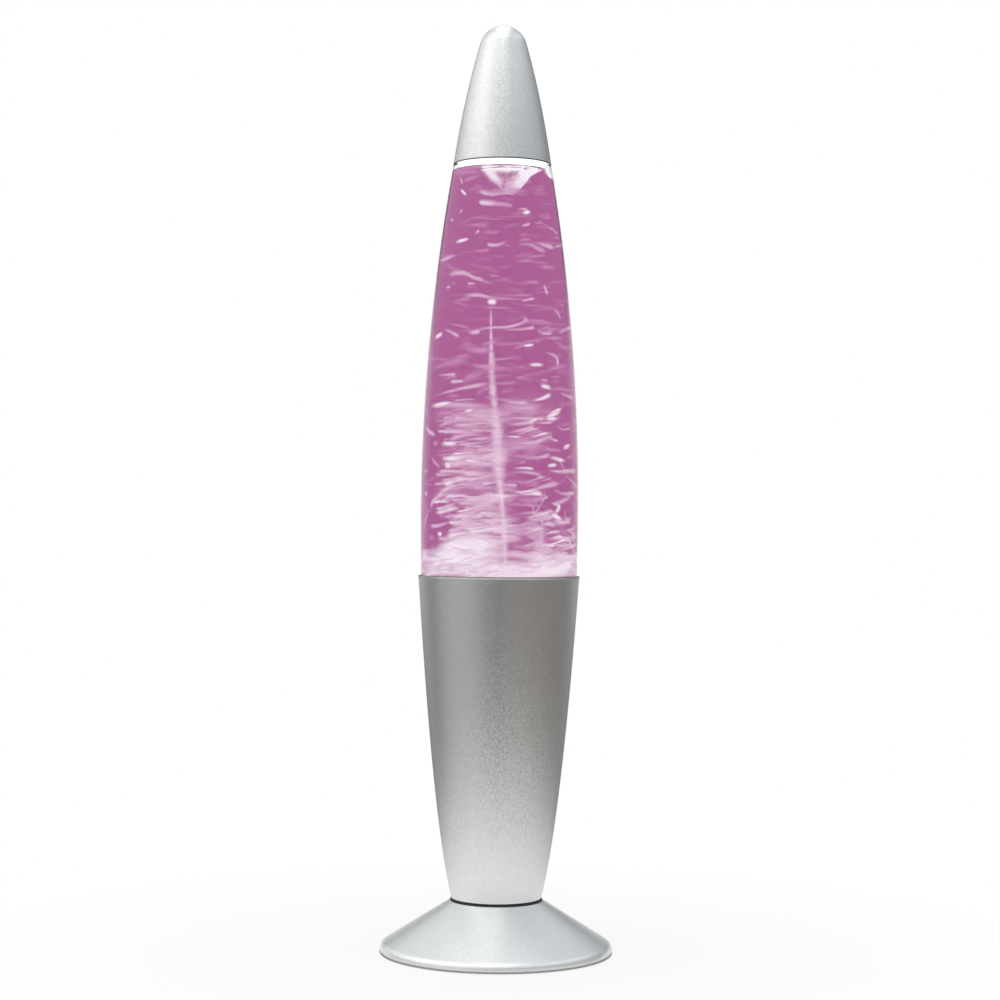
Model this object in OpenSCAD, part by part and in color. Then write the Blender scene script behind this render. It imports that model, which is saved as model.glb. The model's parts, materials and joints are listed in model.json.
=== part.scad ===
// Tornado lamp. A spun metal foot and cup carry a glass bottle of tinted liquid, and a
// rocket-shaped metal cap closes the top. A motor in the cup turns a magnet carrier, and a
// magnetic stirrer inside the bottle follows it and pulls the liquid into a vortex.
// The lamp stands on z = 0, its axis is Z and its front faces -Y. Sizes are millimetres.

/* [Foot] */
// Diameter over the skirt
foot_d = 100; // [96:1:110]
// Height of the flat top that carries the cup
foot_h = 22.4; // [22:0.2:25.6]
// Diameter of the flat top
neck_d = 40.2; // [39:0.2:42]
// Outer radius of the bend between flank and skirt
edge_r = 3.5; // [3:0.1:4.2]
// Height of the upright skirt below the bend
skirt_h = 1.3; // [0.9:0.1:1.8]
// Gap between the skirt and the table
edge_lift = 0.3; // [0.2:0.1:0.6]
// Thickness of the spun sheet of the foot and the cup
sheet_t = 0.8; // [0.6:0.1:1]
// Thickness of the dark gasket between the foot and the cup
gasket_t = 0.7; // [0.5:0.1:1.2]

/* [Cup] */
// Height of the cup
cup_h = 138.9; // [132:0.1:146]
// Diameter over the rim bead
cup_rim_d = 69.8; // [68:0.2:74]
// Radius of the rim bead
bead_r = 0.5; // [0.5:0.05:0.7]
// Radius of the rounded corner at the cup's base
cup_corner_r = 1.2; // [1.1:0.1:1.6]
// Height where the wall's curve turns, as a share of the cup's height
cup_bow_h = 0.25; // [0.22:0.01:0.3]
// Width of the wall there, as a share of its flare
cup_bow_w = 0.53; // [0.5:0.01:0.56]

/* [Bottle] */
// Height of the glass that shows between the cup and the cap
glass_h = 177.4; // [170:0.2:190]
// Height of the widest glass above the cup's rim
belly_rise = 28; // [22:1:34]
// Thickness of the glass wall
glass_t = 1.8; // [1.6:0.1:2]
// Thickness of the bottle's floor
floor_t = 4.2; // [3.6:0.1:5]
// Radius of the bottle's heel
heel_r = 3.5; // [3:0.1:4]
// Outer radius of the neck under the crown closure
finish_r = 13.2; // [12.8:0.1:13.4]
// Radius of the bottle's mouth
mouth_r = 8; // [7:0.1:9]
// Distance from the cap's seat down to the liquid's level
fill_drop = 2.6; // [2:0.1:5]
// Radius of the vortex's mouth
funnel_r = 9.2; // [8:0.2:12]
// Depth of the vortex's funnel
funnel_depth = 11; // [8:0.5:16]
// Distance of the wandering vortex from the bottle's axis
funnel_x = 2.8; // [0:0.2:4]

/* [Swirl] */
// Number of tiers of glitter streaks that the vortex throws off
swirl_tiers = 26; // [18:1:30]
// Radius of the vortex's column at its foot
swirl_r = 1.6; // [1.2:0.1:2.4]
// Slope of a tier from the column up to its edge
swirl_slope = 7; // [4:0.5:10]

/* [Cap] */
// Height of the cap
cap_h = 60.6; // [56:0.2:66]
// Diameter over the cap's rim
cap_rim_d = 42.4; // [42:0.2:44]
// Radius of the rounded nose
nose_r = 10; // [9:0.2:11]
// Lean of the cap's flank where it meets the nose
nose_lean = 15; // [13:0.5:17]
// Thickness of the cap's sheet
cap_t = 0.5; // [0.4:0.1:0.6]

/* [Drive] */
// Diameter of the motor
motor_d = 24.4; // [20:0.2:25]
// Length of the motor's can
motor_len = 27; // [22:0.5:30]
// Diameter of the motor's shaft
shaft_d = 2; // [1.5:0.1:2.3]
// Diameter of the magnet carrier
carrier_d = 29; // [27:0.5:30]
// Diameter of the stirrer
stirrer_d = 28; // [26:0.5:32]
// Number of stirrer blades
blades = 6; // [4:1:8]
// Number of light-emitting diodes on the ring
leds_n = 8; // [6:1:12]
// Height of the motor deck above the cup's floor
deck_rise = 55.4; // [54:0.2:60]

/* [Rear] */
// Angle of the switch round the foot, with 90 at the rear
switch_az = 68; // [64:1:74]
// Distance of the switch from the lamp's axis
switch_at = 30; // [29:0.5:31]
// Travel of the push button
press = 2.5; // [1.5:0.1:2.8]
// Angle of the cord grommet round the foot
grommet_az = 112; // [106:1:116]
// Distance of the grommet from the lamp's axis
grommet_at = 34; // [32:0.5:35]
// Diameter of the cord that the grommet takes
cord_d = 5; // [4:0.1:5.4]

/* [Hidden] */
$fn = 96;
curve_steps = 14;
// Clearances between pieces
bottle_gap = 0.35;
heel_gap = 1.6;
seat_gap = 0.4;
run_gap = 0.04;
slip_gap = 0.3;
sweep_gap = 0.6;
liquid_gap = 0.05;
seat_slack = 0.1;
deck_gap = 0.5;
lens_gap = 0.9;

// Foot: the flank is the tangent from the top's corner to the bend above the skirt
foot_r = foot_d / 2;
neck_r = neck_d / 2;
edge_at = [foot_r - edge_r, edge_lift + skirt_h];
flank_run = edge_at[0] - neck_r;
flank_drop = foot_h - edge_at[1];
foot_slope = atan(flank_drop / flank_run) - asin(edge_r / norm([flank_run, flank_drop]));
flank_out = [sin(foot_slope), cos(foot_slope)];
edge_touch = edge_at + edge_r * flank_out;
function foot_z(r) = foot_h - (r - neck_r) * tan(foot_slope);
function foot_inner_z(r, gap) = foot_z(r) - (sheet_t + gap) / flank_out[1];
function foot_inner_r(z, gap) = neck_r + ((foot_h - z) * flank_out[1] - sheet_t - gap) / flank_out[0];

// Cup: its wall is a quadratic curve from the rounded corner to the rim
cup_base_z = foot_h + gasket_t;
cup_rim_z = cup_base_z + cup_h;
cup_rim_r = cup_rim_d / 2;
cup_base_r = neck_r - 0.2;
wall_top = [cup_rim_r + sheet_t - 2 * bead_r, cup_rim_z - bead_r];
wall_foot = [cup_base_r, cup_base_z + cup_corner_r];
wall_turn = [cup_base_r + cup_bow_w * (wall_top[0] - cup_base_r), cup_base_z + cup_bow_h * cup_h];
function curve(a, b, c, t) = (1 - t) * (1 - t) * a + 2 * t * (1 - t) * b + t * t * c;
function curve_line(a, b, c) = [for (i = [0:curve_steps]) curve(a, b, c, i / curve_steps)];
function cup_t(z) =
    let (p = wall_foot[1] - 2 * wall_turn[1] + wall_top[1])
    let (q = 2 * (wall_turn[1] - wall_foot[1]))
    (sqrt(q * q - 4 * p * (wall_foot[1] - z)) - q) / (2 * p);
function cup_r(z) = curve(wall_foot[0], wall_turn[0], wall_top[0], cup_t(z));
function cup_in(z) = cup_r(z) - sheet_t;

// Lamp tube and its hardware, which clamp foot, cup and cover together
tube_r = 5;
tube_bore_r = 3.5;
tube_hole_r = tube_r + slip_gap;
nut_af = 14;
nut_h = 3;
washer_r = 8;
washer_t = 1;

// Cover, pad and board under the foot
pad_t = 2.2;
pad_in_r = 34;
pad_out_r = 41;
cover_z = pad_t;
cover_t = 2;
cover_top = cover_z + cover_t;
cover_r = foot_r - 5.1;
hub_r = 11;
hub_roof = 2;
pocket_r = 9;
tube_bottom = cover_z + 0.2;
cover_nut_z = tube_bottom + 0.2;
hub_top = cover_nut_z + nut_h + hub_roof;
board_w = 31;
board_d = 15;
board_t = 1.6;
board_y = -21.5;
board_z = cover_top + 2;
board_top = board_z + board_t;
board_screw_x = 12;
board_screw_y = -26;

// Levels inside the cup, from its floor up to the bottle
cup_floor_z = cup_base_z + sheet_t;
flange_t = 2.6;
tube_top = cup_floor_z + flange_t + washer_t + nut_h + 2.3;
chassis_r = cup_in(cup_floor_z + flange_t) - 1.2;
deck_z = cup_floor_z + deck_rise;
deck_t = 2.5;
deck_top = deck_z + deck_t;
deck_r = cup_in(deck_z) - deck_gap;
tray_wall = 1.8;
tray_in_r = deck_r - tray_wall;
ledge_w = 2;
ledge_h = 2;
lens_z = deck_top + 10;
lens_t = 1.5;
lens_r = cup_in(lens_z) - lens_gap;
ring_t = 2;
bottle_z = lens_z + lens_t + ring_t;
led_board_z = deck_top + ledge_h;
led_board_t = 1.6;
led_board_in = 16.5;
led_w = 5;
led_h = 1.6;
led_at = 20.2;
motor_r = motor_d / 2;
motor_boss_r = 3;
bell_t = 3;
motor_screw_at = 8.5;
motor_screw_r = 1.2;
shaft_r = shaft_d / 2;
carrier_z = deck_top + 2.7;
carrier_t = 5.5;
magnet_at = 9;
drive_magnet_r = 4;
drive_magnet_t = 3;
leg_t = 3;
leg_w = 7.6;

// Bottle: the barrel is one arc through the cup's rim and the cap's seat
seat_z = cup_rim_z + glass_h;
top_z = seat_z + cap_h;
cap_rim_r = cap_rim_d / 2;
rim_glass_r = cup_rim_r - 2 * bead_r - bottle_gap;
seat_glass_r = cap_rim_r - 0.1;
belly_z = cup_rim_z + belly_rise;
seat_dz = glass_h - belly_rise;
arc_x = (rim_glass_r + seat_glass_r
    - (seat_dz * seat_dz - belly_rise * belly_rise) / (rim_glass_r - seat_glass_r)) / 2;
arc_r = norm([rim_glass_r - arc_x, belly_rise]);
belly_r = arc_x + arc_r;
base_glass_r = cup_in(bottle_z) - heel_gap;
taper = atan((rim_glass_r - base_glass_r) / (cup_rim_z - bottle_z));
floor_z = bottle_z + floor_t;
punt_r = 17;
punt_h = 1.2;
collar_r = cap_rim_r - cap_t - seat_gap - 0.1;
neck_z = seat_z + 12;
mouth_z = neck_z + 8.6;
fill_z = seat_z - fill_drop;

// Stirrer inside the bottle
post_r = 1.5;
post_base_r = 6;
post_base_t = 1.2;
stirrer_r = stirrer_d / 2;
stirrer_z = floor_z + post_base_t + 0.2;
disc_t = 3;
hub_h = 9.4;
stirrer_hub_r = 4.5;
blade_h = 5.6;
blade_t = 1.2;
blade_bend = 10;
stir_magnet_r = 3;
stir_magnet_t = 2;
clip_r = 3.2;
clip_t = 0.8;
clip_z = stirrer_z + hub_h + 0.3;
post_top = clip_z + clip_t + 0.5;

// Swirl: tiers of streaks on a thin column under the funnel, closer together towards its foot
swirl_low = post_top + 6;
swirl_top = fill_z - funnel_depth;
swirl_high = swirl_top - 14;
swirl_crowd = 1.3;
tier_t = 0.8;
tier_edge_t = 0.3;
tier_margin = 3;

// Inner radius of the glass at a height
function glass_in(z) =
    z > cup_rim_z
        ? arc_x + sqrt(pow(arc_r - glass_t, 2) - pow(z - belly_z, 2))
        : base_glass_r + (z - bottle_z) * tan(taper) - glass_t / cos(taper);
// Height and reach of one tier, and the column's radius there
function tier_share(i) = i / (swirl_tiers - 1);
function tier_z(i) = swirl_low + (swirl_high - swirl_low) * pow(tier_share(i), swirl_crowd);
function tier_reach(i) = (glass_in(tier_z(i)) - funnel_x - tier_margin) * (0.75 + 0.25 * cos(i * 137));
function column_r(i) = swirl_r * (1 - 0.7 * tier_share(i));

// Crown closure on the bottle's mouth
liner_t = 0.5;
crown_t = 0.45;
flutes = 21;
crown_drop = 5;

// Switch and grommet stand square to the foot's flank
switch_flange_r = 6.2;
switch_flange_t = 1.4;
barrel_r = 4.9;
barrel_len = 9.5;
button_r = 3.4;
button_rise = 4.2;
button_root = 3;
switch_nut_af = 13;
switch_nut_t = 2;
grommet_neck_r = cord_d / 2 + 2;
grommet_lip_r = grommet_neck_r + 1.4;
grommet_lip_t = 1.6;
grommet_bore_r = cord_d / 2 + 0.1;

// Wires between the board, the switch, the motor and the light ring
wire_r = 0.4;
wire_bead_r = 0.62;
stub = 1.2;
motor_plug_x = -12.7;
led_plug_x = -9;
switch_plug_x = 10.9;
plug_pitch = 0.9;
plug_wire_z = 2;
motor_wire_rise = 7;
led_wire_rise = 4;
motor_wire_x = 1.6;
led_wire_x = -1.4;
motor_wire_pitch = 0.75;
led_wire_pitch = 1.7;
switch_wire_pitch = 1.4;
switch_wire_x = 15;
switch_wire_y = 8;
led_tail_pitch = 1.3;
tab_wire_at = 6.25;
plug_y = board_y + board_d / 2 - 0.4;
plug_d = 4;
plug_h = 4.2;

// Places a piece on the foot's flank, with its own Z pointing straight out of the metal
module on_flank(az, at) {
    rotate([0, 0, az])
        translate([at, 0, foot_z(at)])
            rotate([0, foot_slope, 0])
                children();
}

// A turned ring between two radii
module ring(r_out, r_in, z, h) {
    translate([0, 0, z])
        difference() {
            cylinder(r = r_out, h = h);
            translate([0, 0, -1])
                cylinder(r = r_in, h = h + 2);
        }
}

// A hexagonal nut with chamfered corners and a plain bore
module hex_nut(af, h, bore_r) {
    corner = af / sqrt(3);
    difference() {
        intersection() {
            cylinder(r = corner, h = h, $fn = 6);
            union() {
                cylinder(r1 = af / 2, r2 = corner, h = 0.6);
                translate([0, 0, 0.6])
                    cylinder(r = corner, h = h - 1.2);
                translate([0, 0, h - 0.6])
                    cylinder(r1 = corner, r2 = af / 2, h = 0.6);
            }
        }
        translate([0, 0, -1])
            cylinder(r = bore_r, h = h + 2);
    }
}

// A pan-head screw with a cross recess, its head's seat at z = 0 and its shank below
module pan_screw(r, len, head_r, head_h) {
    difference() {
        union() {
            translate([0, 0, -len])
                cylinder(r = r, h = len + 0.1);
            cylinder(r1 = head_r, r2 = head_r * 0.8, h = head_h);
        }
        for (a = [0, 90])
            rotate([0, 0, a])
                translate([-head_r * 0.55, -0.25, head_h * 0.45])
                    cube([head_r * 1.1, 0.5, head_h]);
    }
}

// A wire along a list of points, with a round bead at each bend
module wire(path) {
    for (i = [0:len(path) - 2]) {
        run = path[i + 1] - path[i];
        translate(path[i])
            rotate([0, acos(run[2] / norm(run)), atan2(run[1], run[0])])
                cylinder(r = wire_r, h = norm(run), $fn = 24);
    }
    for (i = [1:len(path) - 2])
        translate(path[i])
            sphere(r = wire_bead_r, $fn = 24);
}

// Spun foot: a flat top, a straight flank, a bend and a skirt, pierced for switch and cord
module foot() {
    corner_in = sheet_t * tan(foot_slope / 2);
    color([0.83, 0.84, 0.84])
        difference() {
            rotate_extrude() {
                polygon([
                    [tube_hole_r, foot_h - sheet_t],
                    [neck_r - corner_in, foot_h - sheet_t],
                    edge_touch - sheet_t * flank_out,
                    edge_touch,
                    [neck_r, foot_h],
                    [tube_hole_r, foot_h]
                ]);
                translate(edge_at)
                    intersection() {
                        difference() {
                            circle(r = edge_r);
                            circle(r = edge_r - sheet_t);
                        }
                        polygon([[0, 0], [4 * edge_r, 0], 4 * edge_r * flank_out]);
                    }
                translate([foot_r - sheet_t, edge_lift])
                    square([sheet_t, skirt_h]);
            }
            on_flank(switch_az, switch_at)
                translate([0, 0, -4])
                    cylinder(r = barrel_r + 0.2, h = 8);
            on_flank(grommet_az, grommet_at)
                translate([0, 0, -4])
                    cylinder(r = grommet_neck_r + 0.1, h = 8);
        }
}

// Spun cup: a rounded corner, a curved wall and a rolled rim
module cup() {
    outer = curve_line(wall_foot, wall_turn, wall_top);
    corner = [cup_base_r - cup_corner_r, cup_base_z + cup_corner_r];
    bend_r = cup_corner_r - sheet_t;
    color([0.62, 0.62, 0.61])
        rotate_extrude() {
            polygon(concat(
                [[tube_hole_r, cup_base_z]],
                [for (a = [-90:15:-15]) corner + cup_corner_r * [cos(a), sin(a)]],
                outer,
                [for (i = [curve_steps:-1:0]) outer[i] - [sheet_t, 0]],
                [for (a = [-15:-15:-90]) corner + bend_r * [cos(a), sin(a)]],
                [[tube_hole_r, cup_floor_z]]));
            translate([wall_top[0] - sheet_t + bead_r, cup_rim_z - bead_r])
                circle(r = bead_r);
        }
}

// Dark gasket that shows as a thin line at the neck
module neck_gasket() {
    color([0.07, 0.07, 0.07])
        ring(neck_r - 0.3, 12, foot_h, gasket_t);
}

// Threaded lamp tube, slotted at one side to let the wires in
module lamp_tube() {
    color([0.72, 0.6, 0.32])
        difference() {
            ring(tube_r, tube_bore_r, tube_bottom, tube_top - tube_bottom);
            translate([-tube_r - 1, -2.6, hub_top + 1.4])
                cube([tube_r + 1, 5.2, 8.4]);
        }
}

// Three lamp nuts: in the cup, under the foot's top and in the cover's pocket
module tube_nuts() {
    color([0.78, 0.66, 0.36])
        for (z = [
            cup_floor_z + flange_t + washer_t,
            foot_h - sheet_t - washer_t - nut_h,
            cover_nut_z
        ])
            translate([0, 0, z])
                hex_nut(nut_af, nut_h, tube_r + 0.02);
}

module tube_washers() {
    color([0.75, 0.76, 0.77])
        for (z = [cup_floor_z + flange_t, foot_h - sheet_t - washer_t])
            ring(washer_r, tube_hole_r, z, washer_t);
}

// Moulded cover: its chamfered edge seats inside the foot's flank when its nut is tightened
module base_cover() {
    lip_r = cover_r - 1.6;
    lip_z = foot_inner_z(cover_r, seat_slack);
    color([0.1, 0.1, 0.11])
        difference() {
            union() {
                rotate_extrude()
                    polygon([
                        [0, cover_z],
                        [cover_r, cover_z],
                        [cover_r, lip_z],
                        [lip_r, lip_z],
                        [lip_r, cover_top],
                        [hub_r + 0.6, cover_top],
                        [hub_r, hub_top],
                        [0, hub_top]
                    ]);
                for (x = [-board_screw_x, board_screw_x])
                    translate([x, board_screw_y, cover_top - 0.1])
                        cylinder(r = 2.5, h = board_z - cover_top + 0.1);
                for (a = [15:30:165])
                    rotate([0, 0, a])
                        translate([hub_r - 0.2, -0.6, cover_top - 0.1])
                            cube([foot_inner_r(board_z, 2) - hub_r, 1.2, 0.9]);
            }
            translate([0, 0, cover_z - 1])
                cylinder(r = pocket_r, h = cover_nut_z + nut_h - cover_z + 1);
            cylinder(r = tube_hole_r, h = hub_top + 1);
            for (x = [-board_screw_x, board_screw_x])
                translate([x, board_screw_y, cover_z + 0.8])
                    cylinder(r = 1.02, h = board_z);
        }
}

// Soft ring that the lamp stands on
module foot_pad() {
    color([0.16, 0.16, 0.17])
        ring(pad_out_r, pad_in_r, 0, pad_t);
}

module control_board() {
    color([0.1, 0.32, 0.2])
        difference() {
            translate([-board_w / 2, board_y - board_d / 2, board_z])
                cube([board_w, board_d, board_t]);
            for (x = [-board_screw_x, board_screw_x])
                translate([x, board_screw_y, board_z - 1])
                    cylinder(r = 1.2, h = board_t + 2);
        }
}

// Two plug sockets, a capacitor, a speed trimmer and a driver chip on the board
module board_parts() {
    color([0.2, 0.2, 0.22]) {
        for (x = [-14.4, 8.6])
            translate([x, plug_y - plug_d, board_top])
                difference() {
                    cube([x < 0 ? 7.6 : 4.6, plug_d, plug_h]);
                    translate([0.8, 1, plug_h - 1.2])
                        cube([x < 0 ? 6 : 3, plug_d, 3]);
                }
        translate([3, -19, board_top])
            cylinder(r = 2.6, h = 4.4);
        translate([-3, -20, board_top])
            difference() {
                cylinder(r = 2, h = 2.2);
                translate([-1.6, -0.3, 1.4])
                    cube([3.2, 0.6, 2]);
            }
        translate([-3, -27.4, board_top])
            cube([6, 4.4, 1.6]);
    }
}

module board_screws() {
    color([0.75, 0.76, 0.77])
        for (x = [-board_screw_x, board_screw_x])
            translate([x, board_screw_y, board_top])
                pan_screw(1, board_top - cover_z - 1.4, 2, 1.3);
}

// Rubber grommet that takes the power cord through the back of the foot
module cord_grommet() {
    under = sheet_t + 0.35;
    color([0.05, 0.05, 0.05])
        on_flank(grommet_az, grommet_at)
            difference() {
                union() {
                    translate([0, 0, -under - grommet_lip_t])
                        cylinder(r = grommet_lip_r - 0.5, h = grommet_lip_t);
                    translate([0, 0, -under - 0.1])
                        cylinder(r = grommet_neck_r, h = under + 0.2);
                    cylinder(r = grommet_lip_r, h = grommet_lip_t / 2);
                    translate([0, 0, grommet_lip_t / 2])
                        cylinder(r1 = grommet_lip_r, r2 = grommet_lip_r - 0.8, h = grommet_lip_t / 2);
                }
                translate([0, 0, -8])
                    cylinder(r = grommet_bore_r, h = 16);
            }
}

// Push switch: a flanged barrel through the foot, with a bore for its button
module switch_body() {
    color([0.08, 0.08, 0.085])
        on_flank(switch_az, switch_at)
            difference() {
                union() {
                    translate([0, 0, -barrel_len])
                        cylinder(r = barrel_r, h = barrel_len + 0.1);
                    cylinder(r = switch_flange_r, h = switch_flange_t * 0.6);
                    translate([0, 0, switch_flange_t * 0.6])
                        cylinder(r1 = switch_flange_r, r2 = switch_flange_r - 0.7, h = switch_flange_t * 0.4);
                }
                translate([0, 0, -button_root - press - 0.6])
                    cylinder(r = button_r + slip_gap, h = 20);
            }
}

module switch_nut() {
    color([0.75, 0.76, 0.77])
        on_flank(switch_az, switch_at)
            translate([0, 0, -sheet_t - 0.5 - switch_nut_t])
                hex_nut(switch_nut_af, switch_nut_t, barrel_r + 0.02);
}

// Button with a dished top, which slides square to the foot's flank
module switch_button() {
    color([0.1, 0.1, 0.11])
        on_flank(switch_az, switch_at)
            difference() {
                union() {
                    translate([0, 0, -button_root])
                        cylinder(r = button_r, h = button_root + button_rise - 0.5);
                    translate([0, 0, button_rise - 0.5])
                        cylinder(r1 = button_r, r2 = button_r - 0.5, h = 0.5);
                }
                translate([0, 0, button_rise + 9.6])
                    sphere(r = 10);
            }
}

// Moulded chassis: a clamped flange, three legs, the motor deck and the light tray
module drive_chassis() {
    color([0.9, 0.9, 0.88])
        difference() {
            union() {
                translate([0, 0, cup_floor_z])
                    cylinder(r = chassis_r, h = flange_t);
                for (a = [30, 150, 270])
                    rotate([0, 0, a])
                        translate([motor_r + 1.6, -leg_w / 2, cup_floor_z])
                            cube([leg_t, leg_w, deck_rise + 0.1]);
                for (a = [30, 150, 270])
                    rotate([0, 0, a])
                        translate([motor_r + 1.6 + leg_t - 0.1, 0.7, deck_z + 0.1])
                            rotate([90, 0, 0])
                                linear_extrude(1.4)
                                    polygon([[0, 0], [deck_r - motor_r - 5.4, 0], [0, -9]]);
                translate([0, 0, deck_z])
                    cylinder(r = deck_r, h = deck_t);
                ring(deck_r, tray_in_r, deck_z, lens_z - deck_z);
                ring(deck_r - 0.5, tray_in_r - ledge_w, deck_z, deck_t + ledge_h);
            }
            cylinder(r = tube_hole_r, h = deck_z - 1);
            translate([0, 0, deck_z - 1])
                cylinder(r = motor_boss_r + 0.2, h = deck_t + 2);
            for (y = [-motor_screw_at, motor_screw_at])
                translate([0, y, deck_z - 1])
                    cylinder(r = motor_screw_r + 0.2, h = deck_t + 2);
            translate([-led_at, 0, deck_z - 1])
                cylinder(r = 2.6, h = deck_t + 2);
        }
}

// Motor hung under the deck, with its bearing bore and two tapped holes
module motor_can() {
    can_z = deck_z - motor_len;
    bore_r = shaft_r + run_gap;
    color([0.72, 0.73, 0.74])
        difference() {
            rotate_extrude()
                polygon([[0, can_z], [motor_r - 0.6, can_z], [motor_r, can_z + 0.8],
                    [motor_r, deck_z - 0.8], [motor_r - 0.8, deck_z], [motor_boss_r, deck_z],
                    [motor_boss_r, deck_z + 1.5], [bore_r, deck_z + 1.5], [bore_r, can_z + 5],
                    [0, can_z + 5]]);
            for (y = [-motor_screw_at, motor_screw_at])
                translate([0, y, deck_z - 5])
                    cylinder(r = motor_screw_r + 0.02, h = 6);
        }
}

module motor_end_bell() {
    bell_z = deck_z - motor_len - bell_t;
    color([0.12, 0.12, 0.13])
        union() {
            translate([0, 0, bell_z])
                cylinder(r1 = motor_r - 1.4, r2 = motor_r - 0.6, h = bell_t);
            translate([0, 0, bell_z - 1])
                cylinder(r = 3.5, h = 1.1);
        }
}

module motor_terminals() {
    color([0.8, 0.68, 0.36])
        for (y = [-7, 7])
            translate([-1.2, y - 0.25, deck_z - motor_len - bell_t - 3.4])
                cube([2.4, 0.5, 3.4]);
}

module motor_screws() {
    color([0.75, 0.76, 0.77])
        for (y = [-motor_screw_at, motor_screw_at])
            translate([0, y, deck_top])
                pan_screw(motor_screw_r, deck_t + 4, 2.2, 1.4);
}

module motor_shaft() {
    start = deck_z - motor_len + 5.3;
    color([0.8, 0.81, 0.82])
        translate([0, 0, start])
            cylinder(r = shaft_r, h = carrier_z + carrier_t - start);
}

// Carrier disc with a hub on the shaft and two pockets for magnets
module magnet_carrier() {
    color([0.2, 0.2, 0.22])
        difference() {
            union() {
                translate([0, 0, carrier_z])
                    cylinder(r = carrier_d / 2, h = carrier_t);
                translate([0, 0, carrier_z - 1.9])
                    cylinder(r = 4, h = 2);
            }
            translate([0, 0, carrier_z - 4])
                cylinder(r = shaft_r + 0.01, h = carrier_t + 8);
            for (x = [-magnet_at, magnet_at])
                translate([x, 0, carrier_z + carrier_t - drive_magnet_t])
                    cylinder(r = drive_magnet_r + 0.05, h = drive_magnet_t + 1);
            for (y = [-magnet_at, magnet_at])
                translate([0, y, carrier_z + 1.6])
                    cylinder(r = 3.4, h = carrier_t);
        }
}

module drive_magnets() {
    color([0.85, 0.86, 0.87])
        for (x = [-magnet_at, magnet_at])
            translate([x, 0, carrier_z + carrier_t - drive_magnet_t])
                cylinder(r = drive_magnet_r, h = drive_magnet_t);
}

module led_board() {
    color([0.93, 0.93, 0.9])
        ring(tray_in_r - 0.3, led_board_in, led_board_z, led_board_t);
}

// Square light-emitting diodes, each with a shallow round window
module leds() {
    color([1, 0.97, 0.86])
        for (i = [0:leds_n - 1])
            rotate([0, 0, i * 360 / leds_n])
                translate([led_at, 0, led_board_z + led_board_t])
                    difference() {
                        translate([-led_w / 2, -led_w / 2, 0])
                            cube([led_w, led_w, led_h]);
                        translate([0, 0, led_h - 0.4])
                            cylinder(r1 = led_w * 0.38, r2 = led_w * 0.42, h = 1);
                    }
}

// Frosted lens that closes the light tray, with a locating ring underneath
module light_lens() {
    color([0.95, 0.95, 0.93, 0.7])
        union() {
            translate([0, 0, lens_z])
                cylinder(r = lens_r, h = lens_t);
            ring(tray_in_r - 0.25, tray_in_r - 1.6, lens_z - 2, 2.1);
        }
}

// Silicone ring under the bottle
module seat_ring() {
    color([0.9, 0.9, 0.9])
        ring(lens_r - 1.2, punt_r + 1.5, lens_z + lens_t, ring_t);
}

// Wires from the board, in at the tube's slot and up to the motor's terminals
module motor_leads() {
    tab_z = deck_z - motor_len - bell_t - 2;
    plug_z = board_top + plug_wire_z;
    slot_z = hub_top + motor_wire_rise;
    color([0.75, 0.1, 0.1])
        for (s = [-1, 1]) {
            plug_x = motor_plug_x - plug_pitch * s;
            wire_y = motor_wire_pitch * s;
            wire([
                [plug_x, plug_y, plug_z],
                [plug_x, plug_y + stub, plug_z],
                [plug_x, wire_y, slot_z],
                [motor_wire_x, wire_y, slot_z],
                [motor_wire_x, wire_y, tube_top + 2],
                [0, (tab_wire_at - 0.05) * s, tab_z - 3],
                [0, tab_wire_at * s, tab_z]
            ]);
        }
}

// Wires from the board, in at the tube's slot and up past the motor to the light ring
module led_leads() {
    plug_z = board_top + plug_wire_z;
    slot_z = hub_top + led_wire_rise;
    color([0.85, 0.85, 0.85])
        for (s = [-1, 1]) {
            plug_x = led_plug_x - (plug_pitch - 0.1) * s;
            wire_y = led_wire_pitch * s;
            tail_y = led_tail_pitch * s;
            wire([
                [plug_x, plug_y, plug_z],
                [plug_x, plug_y + stub, plug_z],
                [plug_x, wire_y, slot_z],
                [led_wire_x, wire_y, slot_z],
                [led_wire_x, wire_y, tube_top + 2],
                [-motor_r - 3, tail_y, deck_z - motor_len - bell_t - 6],
                [-led_at, tail_y, deck_z - motor_len],
                [-led_at, tail_y, led_board_z]
            ]);
        }
}

// Wires from the switch round the cover's hub to the board
module switch_leads() {
    end_at = switch_at - barrel_len * flank_out[0];
    end_z = foot_z(switch_at) - barrel_len * flank_out[1];
    end = [end_at * cos(switch_az), end_at * sin(switch_az), end_z];
    across = [sin(switch_az), -cos(switch_az), 0];
    out = [flank_out[0] * cos(switch_az), flank_out[0] * sin(switch_az), flank_out[1]];
    plug_z = board_top + plug_wire_z;
    round_z = hub_top + 1;
    color([0.15, 0.15, 0.16])
        for (s = [-1, 1]) {
            start = end + switch_wire_pitch * s * across;
            side_x = switch_wire_x + (plug_pitch + 0.3) * s;
            plug_x = switch_plug_x + plug_pitch * s;
            wire([
                start,
                start - stub * out,
                [side_x, switch_wire_y, round_z],
                [side_x, -switch_wire_y, round_z],
                [plug_x, plug_y + stub, plug_z],
                [plug_x, plug_y, plug_z]
            ]);
        }
}

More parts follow.
